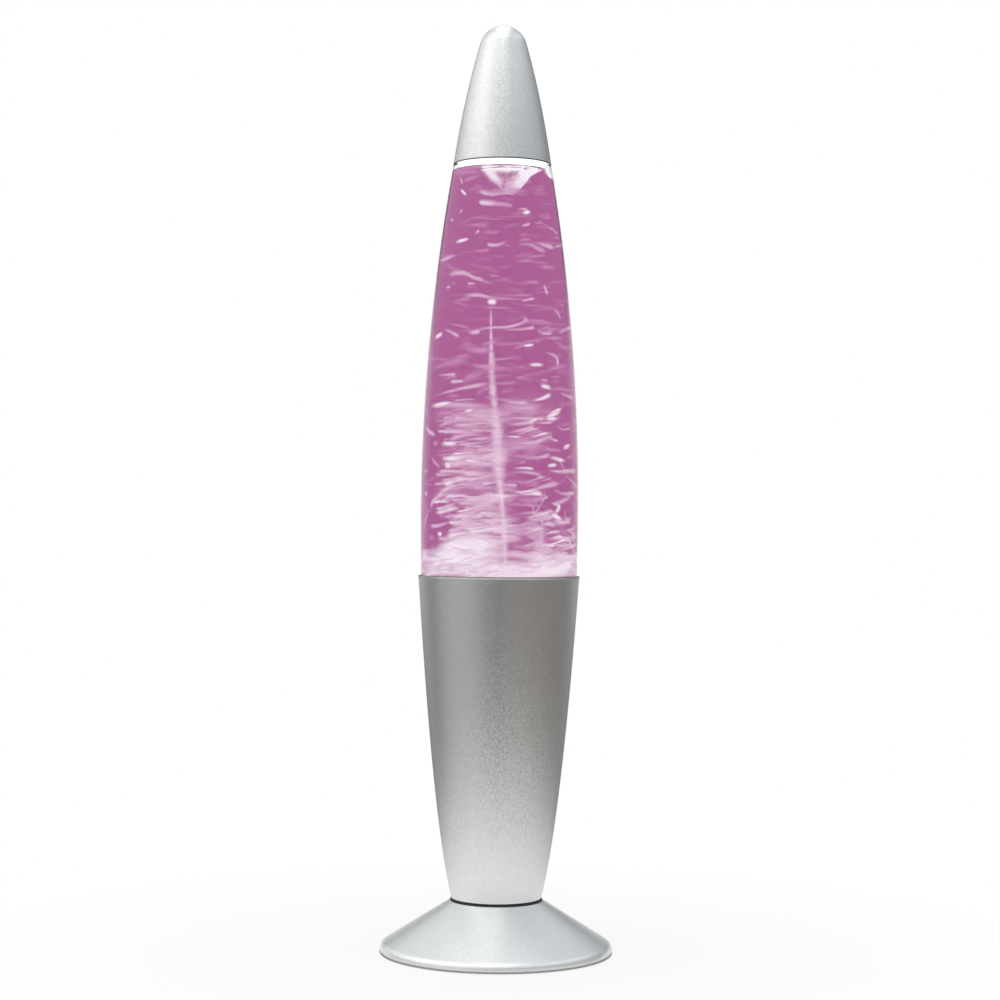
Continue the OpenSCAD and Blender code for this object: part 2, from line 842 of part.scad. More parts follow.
// Outline of the glass from its heel to its mouth, filled to the axis
module glass_outer() {
    heel = [base_glass_r + (heel_r * sin(taper) - heel_r) / cos(taper) , bottle_z + heel_r];
    polygon([
        [0, bottle_z],
        [heel[0], bottle_z],
        heel + heel_r * [cos(taper), -sin(taper)],
        [rim_glass_r, cup_rim_z],
        [0, cup_rim_z]
    ]);
    translate(heel)
        circle(r = heel_r);
    intersection() {
        translate([arc_x, belly_z])
            circle(r = arc_r, $fn = 720);
        translate([0, cup_rim_z - 0.01])
            square([belly_r + 2, glass_h + 0.01]);
    }
    polygon(concat(
        [[0, seat_z - 0.5], [collar_r, seat_z - 0.5]],
        curve_line([collar_r, seat_z], [collar_r - 0.8, neck_z - 1.6], [finish_r - 0.8, neck_z]),
        [
            [finish_r - 0.8, neck_z + 2.6],
            [finish_r, neck_z + 3.4],
            [finish_r, mouth_z - 0.9],
            [finish_r - 0.9, mouth_z],
            [0, mouth_z]
        ]));
}

// Outline of the space inside the glass, shrunk by a gap
module glass_inner(gap) {
    t = glass_t + gap;
    bend = heel_r - 0.8;
    cone_r = base_glass_r + floor_t * tan(taper) - t / cos(taper);
    heel = [cone_r + (bend * sin(taper) - bend) / cos(taper), floor_z + gap + bend];
    arc_in = arc_r - t;
    seat_in = arc_x + sqrt(arc_in * arc_in - seat_dz * seat_dz);
    polygon([
        [0, floor_z + gap],
        [heel[0], floor_z + gap],
        heel + bend * [cos(taper), -sin(taper)],
        [rim_glass_r - t / cos(taper), cup_rim_z],
        [0, cup_rim_z]
    ]);
    translate(heel)
        circle(r = bend);
    intersection() {
        translate([arc_x, belly_z])
            circle(r = arc_in, $fn = 720);
        translate([0, cup_rim_z - 0.01])
            square([belly_r + 2, glass_h + 0.02]);
    }
    polygon(concat(
        [[0, seat_z - 0.01]],
        curve_line([seat_in, seat_z - 0.01], [collar_r - 2.2, neck_z - 3.8], [mouth_r - gap, neck_z - 1.2]),
        [[mouth_r - gap, mouth_z + 1], [0, mouth_z + 1]]));
}

// Glass bottle with a pushed-up base and a seat for the cap's rim
module bottle() {
    color([0.86, 0.9, 0.92, 0.35])
        rotate_extrude()
            difference() {
                glass_outer();
                glass_inner(0);
                polygon([
                    [0, bottle_z - 1],
                    [punt_r + 1, bottle_z - 1],
                    [punt_r + 1, bottle_z],
                    [punt_r - 1, bottle_z + punt_h],
                    [0, bottle_z + punt_h]
                ]);
            }
}

// Tinted liquid, hollowed by the vortex at its top and by the stirrer's sweep at its foot
module liquid() {
    color([0.68, 0.39, 0.59, 0.8])
        difference() {
            rotate_extrude()
                intersection() {
                    glass_inner(liquid_gap);
                    square([belly_r + 2, fill_z]);
                }
            translate([funnel_x, 0, 0])
                rotate_extrude()
                    polygon(concat(
                        [[0, fill_z + 2]],
                        [for (i = [0:curve_steps])
                            let (s = i / curve_steps)
                            [funnel_r * s, fill_z - funnel_depth * pow(1 - s, 1.2)]],
                        [[funnel_r, fill_z + 2]]));
            translate([funnel_x, 0, 0])
                rotate_extrude()
                    swirl_outline(liquid_gap, swirl_top + 1);
            translate([0, 0, floor_z - 1])
                cylinder(r = stirrer_r + sweep_gap, h = post_top - floor_z + 1 + sweep_gap);
        }
}

// Outline of the vortex's column and its tiers, grown by a gap and ended at a height
module swirl_outline(gap, end_z) {
    rise = tan(swirl_slope);
    root = tier_t / 2 + gap;
    edge = tier_edge_t / 2 + gap;
    polygon(concat(
        [[0, swirl_low - 3 - gap], [column_r(0) + gap, swirl_low - 3 - gap]],
        [for (i = [0:swirl_tiers - 1])
            let (z = tier_z(i), near = column_r(i) + gap, far = tier_reach(i) + gap)
            for (point = [
                [near, z - root],
                [far, z + far * rise - edge],
                [far, z + far * rise + edge],
                [near, z + root]
            ])
            point],
        [[column_r(swirl_tiers - 1) + gap, end_z], [0, end_z]]));
}

// Glitter that the vortex draws out of the liquid: a column and the tiers of streaks round it
module glitter_swirl() {
    color([0.95, 0.86, 0.93])
        translate([funnel_x, 0, 0])
            rotate_extrude()
                swirl_outline(0, swirl_top - 0.2);
}

// Post bonded to the bottle's floor, on which the stirrer turns
module pivot_post() {
    color([0.85, 0.86, 0.87])
        union() {
            translate([0, 0, floor_z])
                cylinder(r = post_base_r, h = post_base_t);
            translate([0, 0, floor_z])
                cylinder(r = post_r, h = post_top - floor_z);
        }
}

module pivot_clip() {
    color([0.75, 0.76, 0.77])
        difference() {
            ring(clip_r, post_r + 0.01, clip_z, clip_t);
            translate([0, -0.9, clip_z - 1])
                cube([clip_r + 1, 1.8, clip_t + 2]);
        }
}

// Stirrer: a hub, a disc that holds two magnets, and swept blades
module stirrer() {
    blade_r = blade_bend + blade_t / 2;
    color([0.96, 0.96, 0.96])
        difference() {
            union() {
                translate([0, 0, stirrer_z])
                    cylinder(r = stirrer_hub_r, h = hub_h);
                translate([0, 0, stirrer_z + 0.6])
                    cylinder(r = stirrer_r, h = disc_t);
                for (i = [0:blades - 1])
                    rotate([0, 0, i * 360 / blades])
                        translate([0, 0, stirrer_z + disc_t + 0.5])
                            linear_extrude(blade_h)
                                intersection() {
                                    translate([stirrer_hub_r - 1, blade_bend])
                                        difference() {
                                            circle(r = blade_r);
                                            circle(r = blade_r - blade_t);
                                        }
                                    circle(r = stirrer_r - 0.4);
                                    translate([stirrer_hub_r - 1, -1])
                                        square([stirrer_r, blade_bend + 1]);
                                }
            }
            translate([0, 0, stirrer_z - 1])
                cylinder(r = post_r + run_gap, h = hub_h + 2);
            for (x = [-magnet_at, magnet_at])
                translate([x, 0, stirrer_z - 1])
                    cylinder(r = stir_magnet_r + 0.05, h = 1.6 + stir_magnet_t + 0.1);
        }
}

module stirrer_magnets() {
    color([0.3, 0.3, 0.32])
        for (x = [-magnet_at, magnet_at])
            translate([x, 0, stirrer_z + 0.7])
                cylinder(r = stir_magnet_r, h = stir_magnet_t);
}

module crown_liner() {
    color([0.93, 0.93, 0.9])
        translate([0, 0, mouth_z])
            cylinder(r = finish_r - 0.9, h = liner_t);
}

// Crown closure: a pressed shell whose skirt is crimped into flutes
module crown_closure() {
    lid_z = mouth_z + liner_t;
    skirt_in = finish_r + 0.15;
    flare = 0.6;
    lean = atan(flare / crown_drop);
    color([0.8, 0.8, 0.79])
        difference() {
            union() {
                rotate_extrude()
                    polygon([
                        [0, lid_z],
                        [finish_r - 0.8, lid_z],
                        [skirt_in, lid_z - 1.2],
                        [skirt_in + flare, lid_z - crown_drop],
                        [skirt_in + flare + crown_t, lid_z - crown_drop],
                        [skirt_in + crown_t, lid_z - 1],
                        [finish_r - 0.6, lid_z + crown_t],
                        [0, lid_z + crown_t]
                    ]);
                for (i = [0:flutes - 1])
                    rotate([0, 0, i * 360 / flutes])
                        translate([skirt_in + flare + crown_t / 2, 0, lid_z - crown_drop])
                            rotate([0, -lean, 0])
                                cylinder(r1 = 0.8, r2 = 0.25, h = crown_drop - 0.8, $fn = 24);
            }
            rotate_extrude()
                polygon([
                    [0, lid_z - crown_drop - 1],
                    [skirt_in + flare + 0.02, lid_z - crown_drop - 1],
                    [skirt_in + flare + 0.02, lid_z - crown_drop],
                    [skirt_in + 0.02, lid_z - 1.2],
                    [finish_r - 0.8, lid_z],
                    [0, lid_z]
                ]);
        }
}

// Outline of the cap, filled to the axis and shrunk by a thickness
module cap_outline(t) {
    nose_at = [0, top_z - nose_r];
    touch = nose_at + (nose_r - t) * [cos(nose_lean), sin(nose_lean)];
    reach = norm([cap_rim_r - nose_r, cap_h - nose_r]) / 2;
    turn = touch + reach * [sin(nose_lean), -cos(nose_lean)];
    polygon(concat(
        [[0, seat_z - t]],
        [[cap_rim_r - t, seat_z - t]],
        curve_line([cap_rim_r - t, seat_z], turn, touch),
        [nose_at + [0, 0.1]]));
    intersection() {
        translate(nose_at)
            circle(r = nose_r - t);
        translate([0, nose_at[1]])
            square([nose_r, nose_r + 1]);
    }
}

// Spun cap with a rounded nose, open below
module cap() {
    color([0.86, 0.87, 0.87])
        rotate_extrude()
            difference() {
                cap_outline(0);
                cap_outline(cap_t);
            }
}

foot();
cup();
neck_gasket();
lamp_tube();
tube_nuts();
tube_washers();
base_cover();
foot_pad();
control_board();
board_parts();
board_screws();
cord_grommet();
switch_body();
switch_nut();
switch_button();
drive_chassis();
motor_can();
motor_end_bell();
motor_terminals();
motor_screws();
motor_shaft();
magnet_carrier();
drive_magnets();
led_board();
leds();
light_lens();
seat_ring();
motor_leads();
led_leads();
switch_leads();
bottle();
liquid();
glitter_swirl();
pivot_post();
pivot_clip();
stirrer();
stirrer_magnets();
crown_liner();
crown_closure();
cap();
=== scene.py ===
# %% [markdown]
# # A tornado lamp
# A spun foot and cup carry a glass bottle of tinted liquid, and a rocket-shaped cap closes it.
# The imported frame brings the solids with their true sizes, places and joints. This lesson gives
# each of them its finish, remakes the two curved shells and the liquid with finer curves, and
# fills the liquid with the pale streaks that a vortex draws out of glitter.

# %% Load the frame
import json
import math
import random

import bpy
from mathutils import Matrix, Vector


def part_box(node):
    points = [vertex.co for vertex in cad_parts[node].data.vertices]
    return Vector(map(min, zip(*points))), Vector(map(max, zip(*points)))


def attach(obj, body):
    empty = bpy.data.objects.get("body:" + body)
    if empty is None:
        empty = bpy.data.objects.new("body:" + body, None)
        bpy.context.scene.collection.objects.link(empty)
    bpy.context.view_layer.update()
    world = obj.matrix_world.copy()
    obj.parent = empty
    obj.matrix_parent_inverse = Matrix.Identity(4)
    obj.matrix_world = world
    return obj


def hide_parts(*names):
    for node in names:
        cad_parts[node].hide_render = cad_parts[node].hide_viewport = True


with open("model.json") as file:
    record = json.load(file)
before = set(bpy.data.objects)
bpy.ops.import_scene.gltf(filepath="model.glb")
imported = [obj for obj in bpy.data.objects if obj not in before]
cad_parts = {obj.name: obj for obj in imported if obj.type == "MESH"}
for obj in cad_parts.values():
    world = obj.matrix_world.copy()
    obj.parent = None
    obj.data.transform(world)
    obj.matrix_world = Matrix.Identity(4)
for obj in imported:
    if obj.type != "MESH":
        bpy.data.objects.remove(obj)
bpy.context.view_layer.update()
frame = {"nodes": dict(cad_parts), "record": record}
nodes = frame["nodes"]

# %% [markdown]
# ## Turning a shape
# Spun metal and blown glass are bodies of revolution, so one helper turns a list of radius and
# height points about the lamp's axis. A Screw modifier would do the same, but plain vertices and
# faces let the liquid's top leave the axis later on. Points are in millimetres, as on a drawing.

# %% Curves and the turning helper
MM = 0.001
ROUND = 192


def bend(a, b, c, steps):
    """Points of a quadratic curve from a to c that leans towards b."""
    points = []
    for i in range(steps + 1):
        t = i / steps
        points.append(tuple(
            (1 - t) ** 2 * p + 2 * t * (1 - t) * q + t * t * r for p, q, r in zip(a, b, c)
        ))
    return points


def arc(centre, r, start, end, steps):
    """Points of a round corner between two angles in degrees."""
    angles = [math.radians(start + (end - start) * i / steps) for i in range(steps + 1)]
    return [(centre[0] + r * math.cos(a), centre[1] + r * math.sin(a)) for a in angles]


def stitch(rings):
    """Faces between neighbouring rings of vertex numbers; a ring of one is a pole."""
    faces = []
    for low, high in zip(rings, rings[1:]):
        steps = max(len(low), len(high))
        for i in range(steps):
            j = (i + 1) % steps
            face = [low[i % len(low)], low[j % len(low)], high[j % len(high)], high[i % len(high)]]
            face = list(dict.fromkeys(face))
            if len(face) > 2:
                faces.append(face)
    return faces


def ringed(name, rings, sharp=35, closed=False):
    """A piece stitched from rings of points in millimetres, smooth but for its sharp corners."""
    verts, numbers = [], []
    for ring in rings:
        numbers.append(range(len(verts), len(verts) + len(ring)))
        verts += [(x * MM, y * MM, z * MM) for x, y, z in ring]
    if closed:
        numbers.append(numbers[0])
    mesh = bpy.data.meshes.new(name)
    mesh.from_pydata(verts, [], stitch(numbers))
    mesh.validate()
    mesh.shade_smooth()
    mesh.set_sharp_from_angle(angle=math.radians(sharp))
    piece = bpy.data.objects.new(name, mesh)
    bpy.context.collection.objects.link(piece)
    print(name, len(verts), "vertices")
    return piece


def circle(r, z, count=ROUND):
    """Points of a level circle about the axis; a circle of no size is one point."""
    if r == 0:
        return [(0, 0, z)]
    turns = [2 * math.pi * i / count for i in range(count)]
    return [(r * math.cos(a), r * math.sin(a), z) for a in turns]


def turned(name, profile):
    """A piece turned from radius and height points, outside upward and inside downward."""
    return ringed(name, [circle(r, z) for r, z in profile], closed=profile[0][0] > 0)


# %% [markdown]
# ## Cup and cap
# The real cup and cap are spun from sheet on a lathe, so their walls flow in one curve. The
# solids approach that curve with short cones, which a satin finish would show as bands. Here
# the same curves are turned with many more points: the wall, the rolled rim and the sheet's
# thickness stay where the solids have them, and each shell stands for its solid.

# %% Spin the cup
SHEET = 0.8
BEAD = 0.5
CORNER = 0.8
CUP_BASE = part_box("cup")[0].z / MM
CUP_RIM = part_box("cup")[1].z / MM
RIM_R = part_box("cup")[1].x / MM
TUBE_HOLE = 5.3
base_r = 19.45
wall_top = (RIM_R + SHEET - 2 * BEAD, CUP_RIM - BEAD)
wall_foot = (base_r, CUP_BASE + CORNER)
wall_turn = (base_r + 0.545 * (wall_top[0] - base_r), CUP_BASE + 0.25 * (CUP_RIM - CUP_BASE))
wall = bend(wall_foot, wall_turn, wall_top, 72)
bead_at = (wall_top[0] - SHEET + BEAD, wall_top[1])
corner_at = (base_r - CORNER, CUP_BASE + CORNER)
cup_profile = [(TUBE_HOLE, CUP_BASE)]
cup_profile += arc(corner_at, CORNER, -90, 0, 10)
cup_profile += [p for p in wall[1:] if p[1] < CUP_RIM - 1]
cup_profile += arc(bead_at, BEAD, -53, 180, 16)
cup_profile += [(r - SHEET, z) for r, z in reversed(wall) if z < CUP_RIM - 1]
cup_profile += arc(corner_at, CORNER - SHEET, -15, -90, 5)
cup_profile += [(TUBE_HOLE, CUP_BASE + SHEET)]
cup_shell = turned("cup_shell", cup_profile)
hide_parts("cup")
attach(cup_shell, "base")

# %% Spin the cap
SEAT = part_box("cap")[0].z / MM
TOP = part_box("cap")[1].z / MM
CAP_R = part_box("cap")[1].x / MM
NOSE = 10.4
LEAN_DEG = 16
LEAN = math.radians(LEAN_DEG)


def cap_line(t):
    """The cap's outline from its rim to its tip, moved inward by a thickness."""
    nose_at = (0, TOP - NOSE)
    touch = ((NOSE - t) * math.cos(LEAN), nose_at[1] + (NOSE - t) * math.sin(LEAN))
    reach = math.hypot(CAP_R - NOSE, TOP - SEAT - NOSE) / 2
    turn = (touch[0] + reach * math.sin(LEAN), touch[1] - reach * math.cos(LEAN))
    nose = arc(nose_at, NOSE - t, LEAN_DEG, 90, 20)
    return bend((CAP_R - t, SEAT), turn, touch, 48)[:-1] + nose[:-1]


CAP_SHEET = 0.5
CAP_EDGE = 0.45
cap_inside = cap_line(CAP_SHEET)
cap_outside = cap_line(0)
lean = (cap_outside[1][0] - CAP_R) / (cap_outside[1][1] - SEAT)
cap_outside.insert(1, (CAP_R + lean * CAP_EDGE, SEAT + CAP_EDGE))
cap_shell = turned("cap_shell", cap_outside + [(0, TOP), (0, TOP - CAP_SHEET)] + cap_inside[::-1])
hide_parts("cap")
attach(cap_shell, "cap")

# %% [markdown]
# ## The liquid
# The liquid fills the glass to its wall. If it stopped short of the wall, a film of air would
# mirror everything, so its skin reaches a little way into the glass. Its top is drawn down into a
# funnel that has wandered off the axis, climbs a little at the wall, and has pulled away from
# the glass at one side, where the swirl throws it about.

# %% Inside of the glass
GLASS = 1.8
BELLY_UP = 28
BELLY = CUP_RIM + BELLY_UP
glass_rim = RIM_R - 2 * BEAD - 0.35
glass_seat = CAP_R - 0.1
seat_dz = SEAT - BELLY
arc_x = (glass_rim + glass_seat - (seat_dz ** 2 - BELLY_UP ** 2) / (glass_rim - glass_seat)) / 2
arc_r = math.hypot(glass_rim - arc_x, BELLY_UP)
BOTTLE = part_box("bottle")[0].z / MM
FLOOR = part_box("pivot_post")[0].z / MM


def cup_radius(z):
    """Outer radius of the cup's wall at a height."""
    for (r0, z0), (r1, z1) in zip(wall, wall[1:]):
        if z0 <= z <= z1:
            return r0 + (r1 - r0) * (z - z0) / (z1 - z0)
    return wall_top[0]


glass_base = cup_radius(BOTTLE) - SHEET - 1.6
taper = math.atan((glass_rim - glass_base) / (CUP_RIM - BOTTLE))


def glass_inside(z):
    """Inner radius of the glass at a height above its heel."""
    if z < CUP_RIM:
        return glass_base + (z - BOTTLE) * math.tan(taper) - GLASS / math.cos(taper)
    return arc_x + math.sqrt((arc_r - GLASS) ** 2 - (z - BELLY) ** 2)


print("inside radius at rim and seat", round(glass_inside(CUP_RIM), 2), round(glass_inside(SEAT), 2))

# %% Fill the bottle
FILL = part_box("liquid")[1].z / MM
FUNNEL_X = 2.8
FUNNEL_R = 9.2
FUNNEL_DEPTH = 11
SKIN = 0.14
HEEL = 2.7
CREEP = 0.5
WALL_RINGS = 120
TOP_RINGS = 60


def smooth(a, b, x):
    """A soft step from 0 at a to 1 at b."""
    t = min(1, max(0, (x - a) / (b - a)))
    return t * t * (3 - 2 * t)


def slack(angle, z):
    """How far the swirl has pulled the liquid away from the glass."""
    side = max(0, math.cos(angle + 0.12)) ** 14
    return side * (0.12 * smooth(316, 330, z) + 0.8 * smooth(331, FILL, z) ** 3)


def funnel_dip(x, y):
    """Depth of the ragged funnel under the liquid's level."""
    a = math.atan2(y, x - FUNNEL_X)
    far = math.hypot(x - FUNNEL_X, y) / FUNNEL_R
    ragged = 0.1 * math.sin(3 * a + 0.4) + 0.07 * math.sin(7 * a + 5 * far)
    ragged += 0.05 * math.sin(12 * a - 9 * far)
    far *= 1 + ragged * min(1, 2 * far)
    return FUNNEL_DEPTH * (1 - smooth(0, 1.12, far)) ** 1.25


angles = [2 * math.pi * i / ROUND for i in range(ROUND)]
rings = [circle(0, FLOOR - 0.1)]
wall_start = FLOOR + HEEL
heel_r = glass_inside(wall_start) - HEEL
for r, z in [(heel_r * 0.5, FLOOR - 0.1)] + arc((heel_r, wall_start), HEEL + 0.1, -90, -10, 6):
    rings.append(circle(r, z))
for i in range(WALL_RINGS + 1):
    z = wall_start + (FILL - wall_start) * i / WALL_RINGS
    reach = [glass_inside(z) + SKIN - slack(a, z) for a in angles]
    rings.append([(r * math.cos(a), r * math.sin(a), z) for a, r in zip(angles, reach)])
edge = [glass_inside(FILL) + SKIN - slack(a, FILL) for a in angles]
for i in range(1, TOP_RINGS + 1):
    share = 1 - i / TOP_RINGS
    points = []
    for a, r in zip(angles, edge):
        x = share * r * math.cos(a) + FUNNEL_X * (1 - share ** 2)
        y = share * r * math.sin(a)
        creep = CREEP * math.exp(-(1 - share) * r / 0.9)
        points.append((x, y, FILL + creep - CREEP - funnel_dip(x, y)))
    rings.append(points if i < TOP_RINGS else points[:1])
liquid = ringed("liquid_swirl", rings, 60)
brim = sum(len(ring) for ring in rings[:-TOP_RINGS])
for face in liquid.data.polygons:
    face.material_index = 1 if min(face.vertices) >= brim - ROUND else 0
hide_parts("liquid")
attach(liquid, "bottle")

# %% [markdown]
# ## Streaks in the liquid
# Glitter that circles fast leaves pale strokes, soft at their edges and tails. A stroke here is
# a ribbon that faces outward, so it shows its width from every side of the lamp. Its finish
# fades it towards its edges by the ribbon's own U and V: U runs from tail to head, V across.
# Hazy ribbons are wide and thin out to clouds, bright ones are narrow.

# %% Ribbon helpers
def stroke_piece(name, ribbons):
    """A piece of ribbons, each a list of edge pairs; U runs along a ribbon and V across it."""
    verts, faces, uvs = [], [], []
    for pairs in ribbons:
        steps = len(pairs) - 1
        for i, pair in enumerate(pairs):
            start = len(verts)
            verts += [tuple(corner * MM) for corner in pair]
            if i < steps:
                faces.append((start, start + 2, start + 3, start + 1))
                uvs += [(i / steps, 0), ((i + 1) / steps, 0), ((i + 1) / steps, 1), (i / steps, 1)]
    mesh = bpy.data.meshes.new(name)
    mesh.from_pydata(verts, [], faces)
    for corner, uv in zip(mesh.uv_layers.new(name="stroke").data, uvs):
        corner.uv = uv
    mesh.shade_smooth()
    piece = bpy.data.objects.new(name, mesh)
    bpy.context.collection.objects.link(piece)
    print(name, len(ribbons), "ribbons")
    return piece


def facing_outward(path):
    """Edge pairs of a ribbon that faces outward, from its x, y, z and half width in millimetres."""
    places = [Vector(point[:3]) for point in path]
    pairs = []
    for i, point in enumerate(places):
        ahead = places[min(i + 1, len(path) - 1)] - places[max(i - 1, 0)]
        across = ahead.cross(Vector((point.x, point.y, 0))).normalized() * path[i][3]
        pairs.append((point + across, point - across))
    return pairs


def along(points, steps):
    """Points spread evenly over a smooth line through a few given points."""
    spread = []
    last = len(points) - 1
    for i in range(steps + 1):
        t = last * i / steps
        k = min(int(t), last - 1)
        f = t - k
        a, b, c, d = (points[min(max(k + j, 0), last)] for j in (-1, 0, 1, 2))
        spread.append(tuple(
            q + 0.5 * f * (r - p + f * (2 * p - 5 * q + 4 * r - s + f * (3 * (q - r) + s - p)))
            for p, q, r, s in zip(a, b, c, d)
        ))
    return spread


# %% [markdown]
# ## Strokes with a set place
# The larger strokes are placed as they look from the front. The full bottle is a lens: a ray
# that meets it at some distance from the axis bends inward. The helper follows that ray to the
# depth of the stroke, so that the stroke appears where it was asked for. Heights shrink a little
# with nearness. Places are read as columns and rows of a picture a thousand units square.
# A unit is 0.432 mm at the lamp's axis, and the picture is rolled by half a degree.

# %% Set places
UNIT = 0.432
BEND = 1.34
EYE_Z = 181.7
EYE_FAR = 960
EYE_ROW = 530
AXIS_COLUMN = 498.6
ROLL_X = 0.0085
ROLL_Z = 0.0096
STEPS = 20
tiers = {"haze": [], "mist": [], "faint": [], "pale": [], "bright": [], "spot": [], "wisp": []}


def seen_at(column, row, deep=0.92):
    """The point in the liquid that appears at a column and row of the front view."""
    x = (column - AXIS_COLUMN + ROLL_X * (row - 500)) * UNIT * 0.985
    level = EYE_Z + (EYE_ROW - row + ROLL_Z * (column - 497)) * UNIT
    outer = glass_inside(min(max(level, CUP_RIM - 30), SEAT)) + 1.7
    ring = deep * outer
    x = max(-outer * 0.985, min(outer * 0.985, x))
    enter = math.asin(x / outer)
    angle = enter - math.asin(x / outer / BEND) + math.asin(max(-1, min(1, x / BEND / ring)))
    y = -ring * math.cos(angle)
    return ring * math.sin(angle), y, EYE_Z + (level - EYE_Z) * (EYE_FAR + y) / EYE_FAR


def stroke(tier, width, points, deep=0.9):
    """Adds one ribbon: its tier, its width in picture units and its path from tail to head."""
    length = sum(math.dist(a, b) for a, b in zip(points, points[1:]))
    short = length < 3 * width
    if short and tier == "bright":
        tier = "spot"
    if short:
        (a, b), (c, d) = points[0], points[-1]
        tail = (1.2 * a - 0.2 * c, 1.2 * b - 0.2 * d)
        head = (1.2 * c - 0.2 * a, 1.2 * d - 0.2 * b)
        points = (tail, *points[1:-1], head)
    deep -= 0.0015 * (sum(len(rows) for rows in tiers.values()) % 40)
    path = []
    for i, (column, row) in enumerate(along(points, STEPS)):
        t = i / STEPS
        if short:
            swell = 0.75 * math.sqrt(max(0.05, 1 - (1.9 * t - 0.98) ** 2))
        else:
            swell = (0.4 + 0.6 * t) * math.sqrt(max(0.03, min(1, (1 - t) * length / width)))
        path.append((*seen_at(column, row, deep), 0.72 * width * UNIT * swell))
    tiers[tier].append(path)


# %% Strokes near the top
for tier, width, *points in (
    ("pale", 5, (531, 194), (505, 193), (489, 194), (477, 190)),
    ("faint", 7, (535, 192), (507, 190), (480, 193)),
    ("pale", 7, (512, 208), (508, 205), (490, 203), (477, 202)),
    ("bright", 5, (496, 204), (477, 202)),
    ("pale", 4, (515, 210), (523, 209), (529, 213)),
    ("bright", 5, (522, 213), (529, 212)),
    ("pale", 4, (521, 226), (528, 224)),
    ("faint", 4, (534, 224), (540, 222)),
    ("pale", 4, (547, 227), (552, 230), (558, 235)),
    ("pale", 6, (513, 243), (529, 245), (537, 249), (546, 252)),
    ("bright", 6, (536, 243), (545, 246), (554, 248)),
    ("pale", 4, (554, 247), (563, 246)),
    ("pale", 5, (508, 240), (496, 245), (485, 244)),
    ("bright", 5, (467, 239), (456, 242)),
    ("pale", 4, (474, 234), (478, 231)),
    ("pale", 4, (449, 219), (452, 221)),
    ("pale", 4, (459, 213), (461, 210)),
    ("pale", 5, (459, 177), (461, 183)),
    ("bright", 4, (460, 190), (465, 195)),
    ("faint", 6, (478, 176), (464, 180)),
    ("pale", 6, (452, 256), (440, 261)),
    ("faint", 5, (441, 261), (452, 269), (462, 270)),
    ("pale", 6, (498, 285), (478, 280), (462, 273), (445, 275)),
    ("pale", 4, (445, 288), (449, 287)),
    ("faint", 4, (490, 256), (503, 257)),
    ("faint", 4, (512, 262), (530, 261)),
    ("pale", 5, (543, 285), (546, 294)),
    ("faint", 5, (540, 268), (553, 268)),
    ("faint", 4, (500, 277), (488, 275)),
    ("faint", 5, (457, 226), (473, 225), (490, 223)),
    ("faint", 5, (470, 252), (490, 250)),
):
    stroke(tier, width, points)

# %% Strokes about the middle
for tier, width, *points in (
    ("pale", 5, (533, 299), (512, 299), (491, 298), (476, 295), (461, 297)),
    ("pale", 4, (521, 301), (532, 299)),
    ("faint", 5, (449, 301), (470, 307)),
    ("bright", 8, (487, 302), (495, 302)),
    ("pale", 4, (549, 308), (556, 312), (560, 320)),
    ("pale", 4, (447, 332), (472, 331), (490, 328), (508, 327), (525, 321), (518, 315)),
    ("bright", 6, (441, 334), (434, 338)),
    ("pale", 5, (441, 329), (449, 332), (460, 338)),
    ("faint", 8, (458, 337), (475, 349), (490, 352)),
    ("pale", 4, (496, 330), (524, 329), (534, 327)),
    ("pale", 5, (535, 329), (541, 333), (553, 333)),
    ("pale", 5, (558, 333), (570, 328)),
    ("pale", 6, (469, 333), (478, 332)),
    ("faint", 4, (509, 351), (524, 344)),
    ("bright", 4, (523, 346), (532, 345)),
    ("bright", 5, (529, 365), (541, 365)),
    ("pale", 5, (542, 352), (555, 357), (557, 368)),
    ("faint", 5, (550, 340), (561, 346), (568, 351)),
    ("pale", 4, (436, 376), (456, 374)),
    ("bright", 5, (465, 381), (449, 382)),
    ("faint", 6, (463, 364), (485, 367), (521, 371)),
    ("pale", 5, (426, 398), (447, 392), (469, 387), (490, 384)),
    ("faint", 5, (476, 399), (480, 391), (490, 388)),
    ("pale", 5, (540, 380), (546, 381)),
    ("bright", 6, (540, 386), (549, 388)),
    ("faint", 5, (550, 387), (572, 392)),
    ("pale", 5, (558, 393), (574, 399)),
    ("faint", 5, (531, 374), (514, 379)),
    ("faint", 8, (427, 372), (445, 364), (470, 360)),
    ("faint", 12, (462, 383), (478, 372), (493, 366)),
    ("faint", 10, (459, 350), (478, 350), (492, 346)),
):
    stroke(tier, width, points)

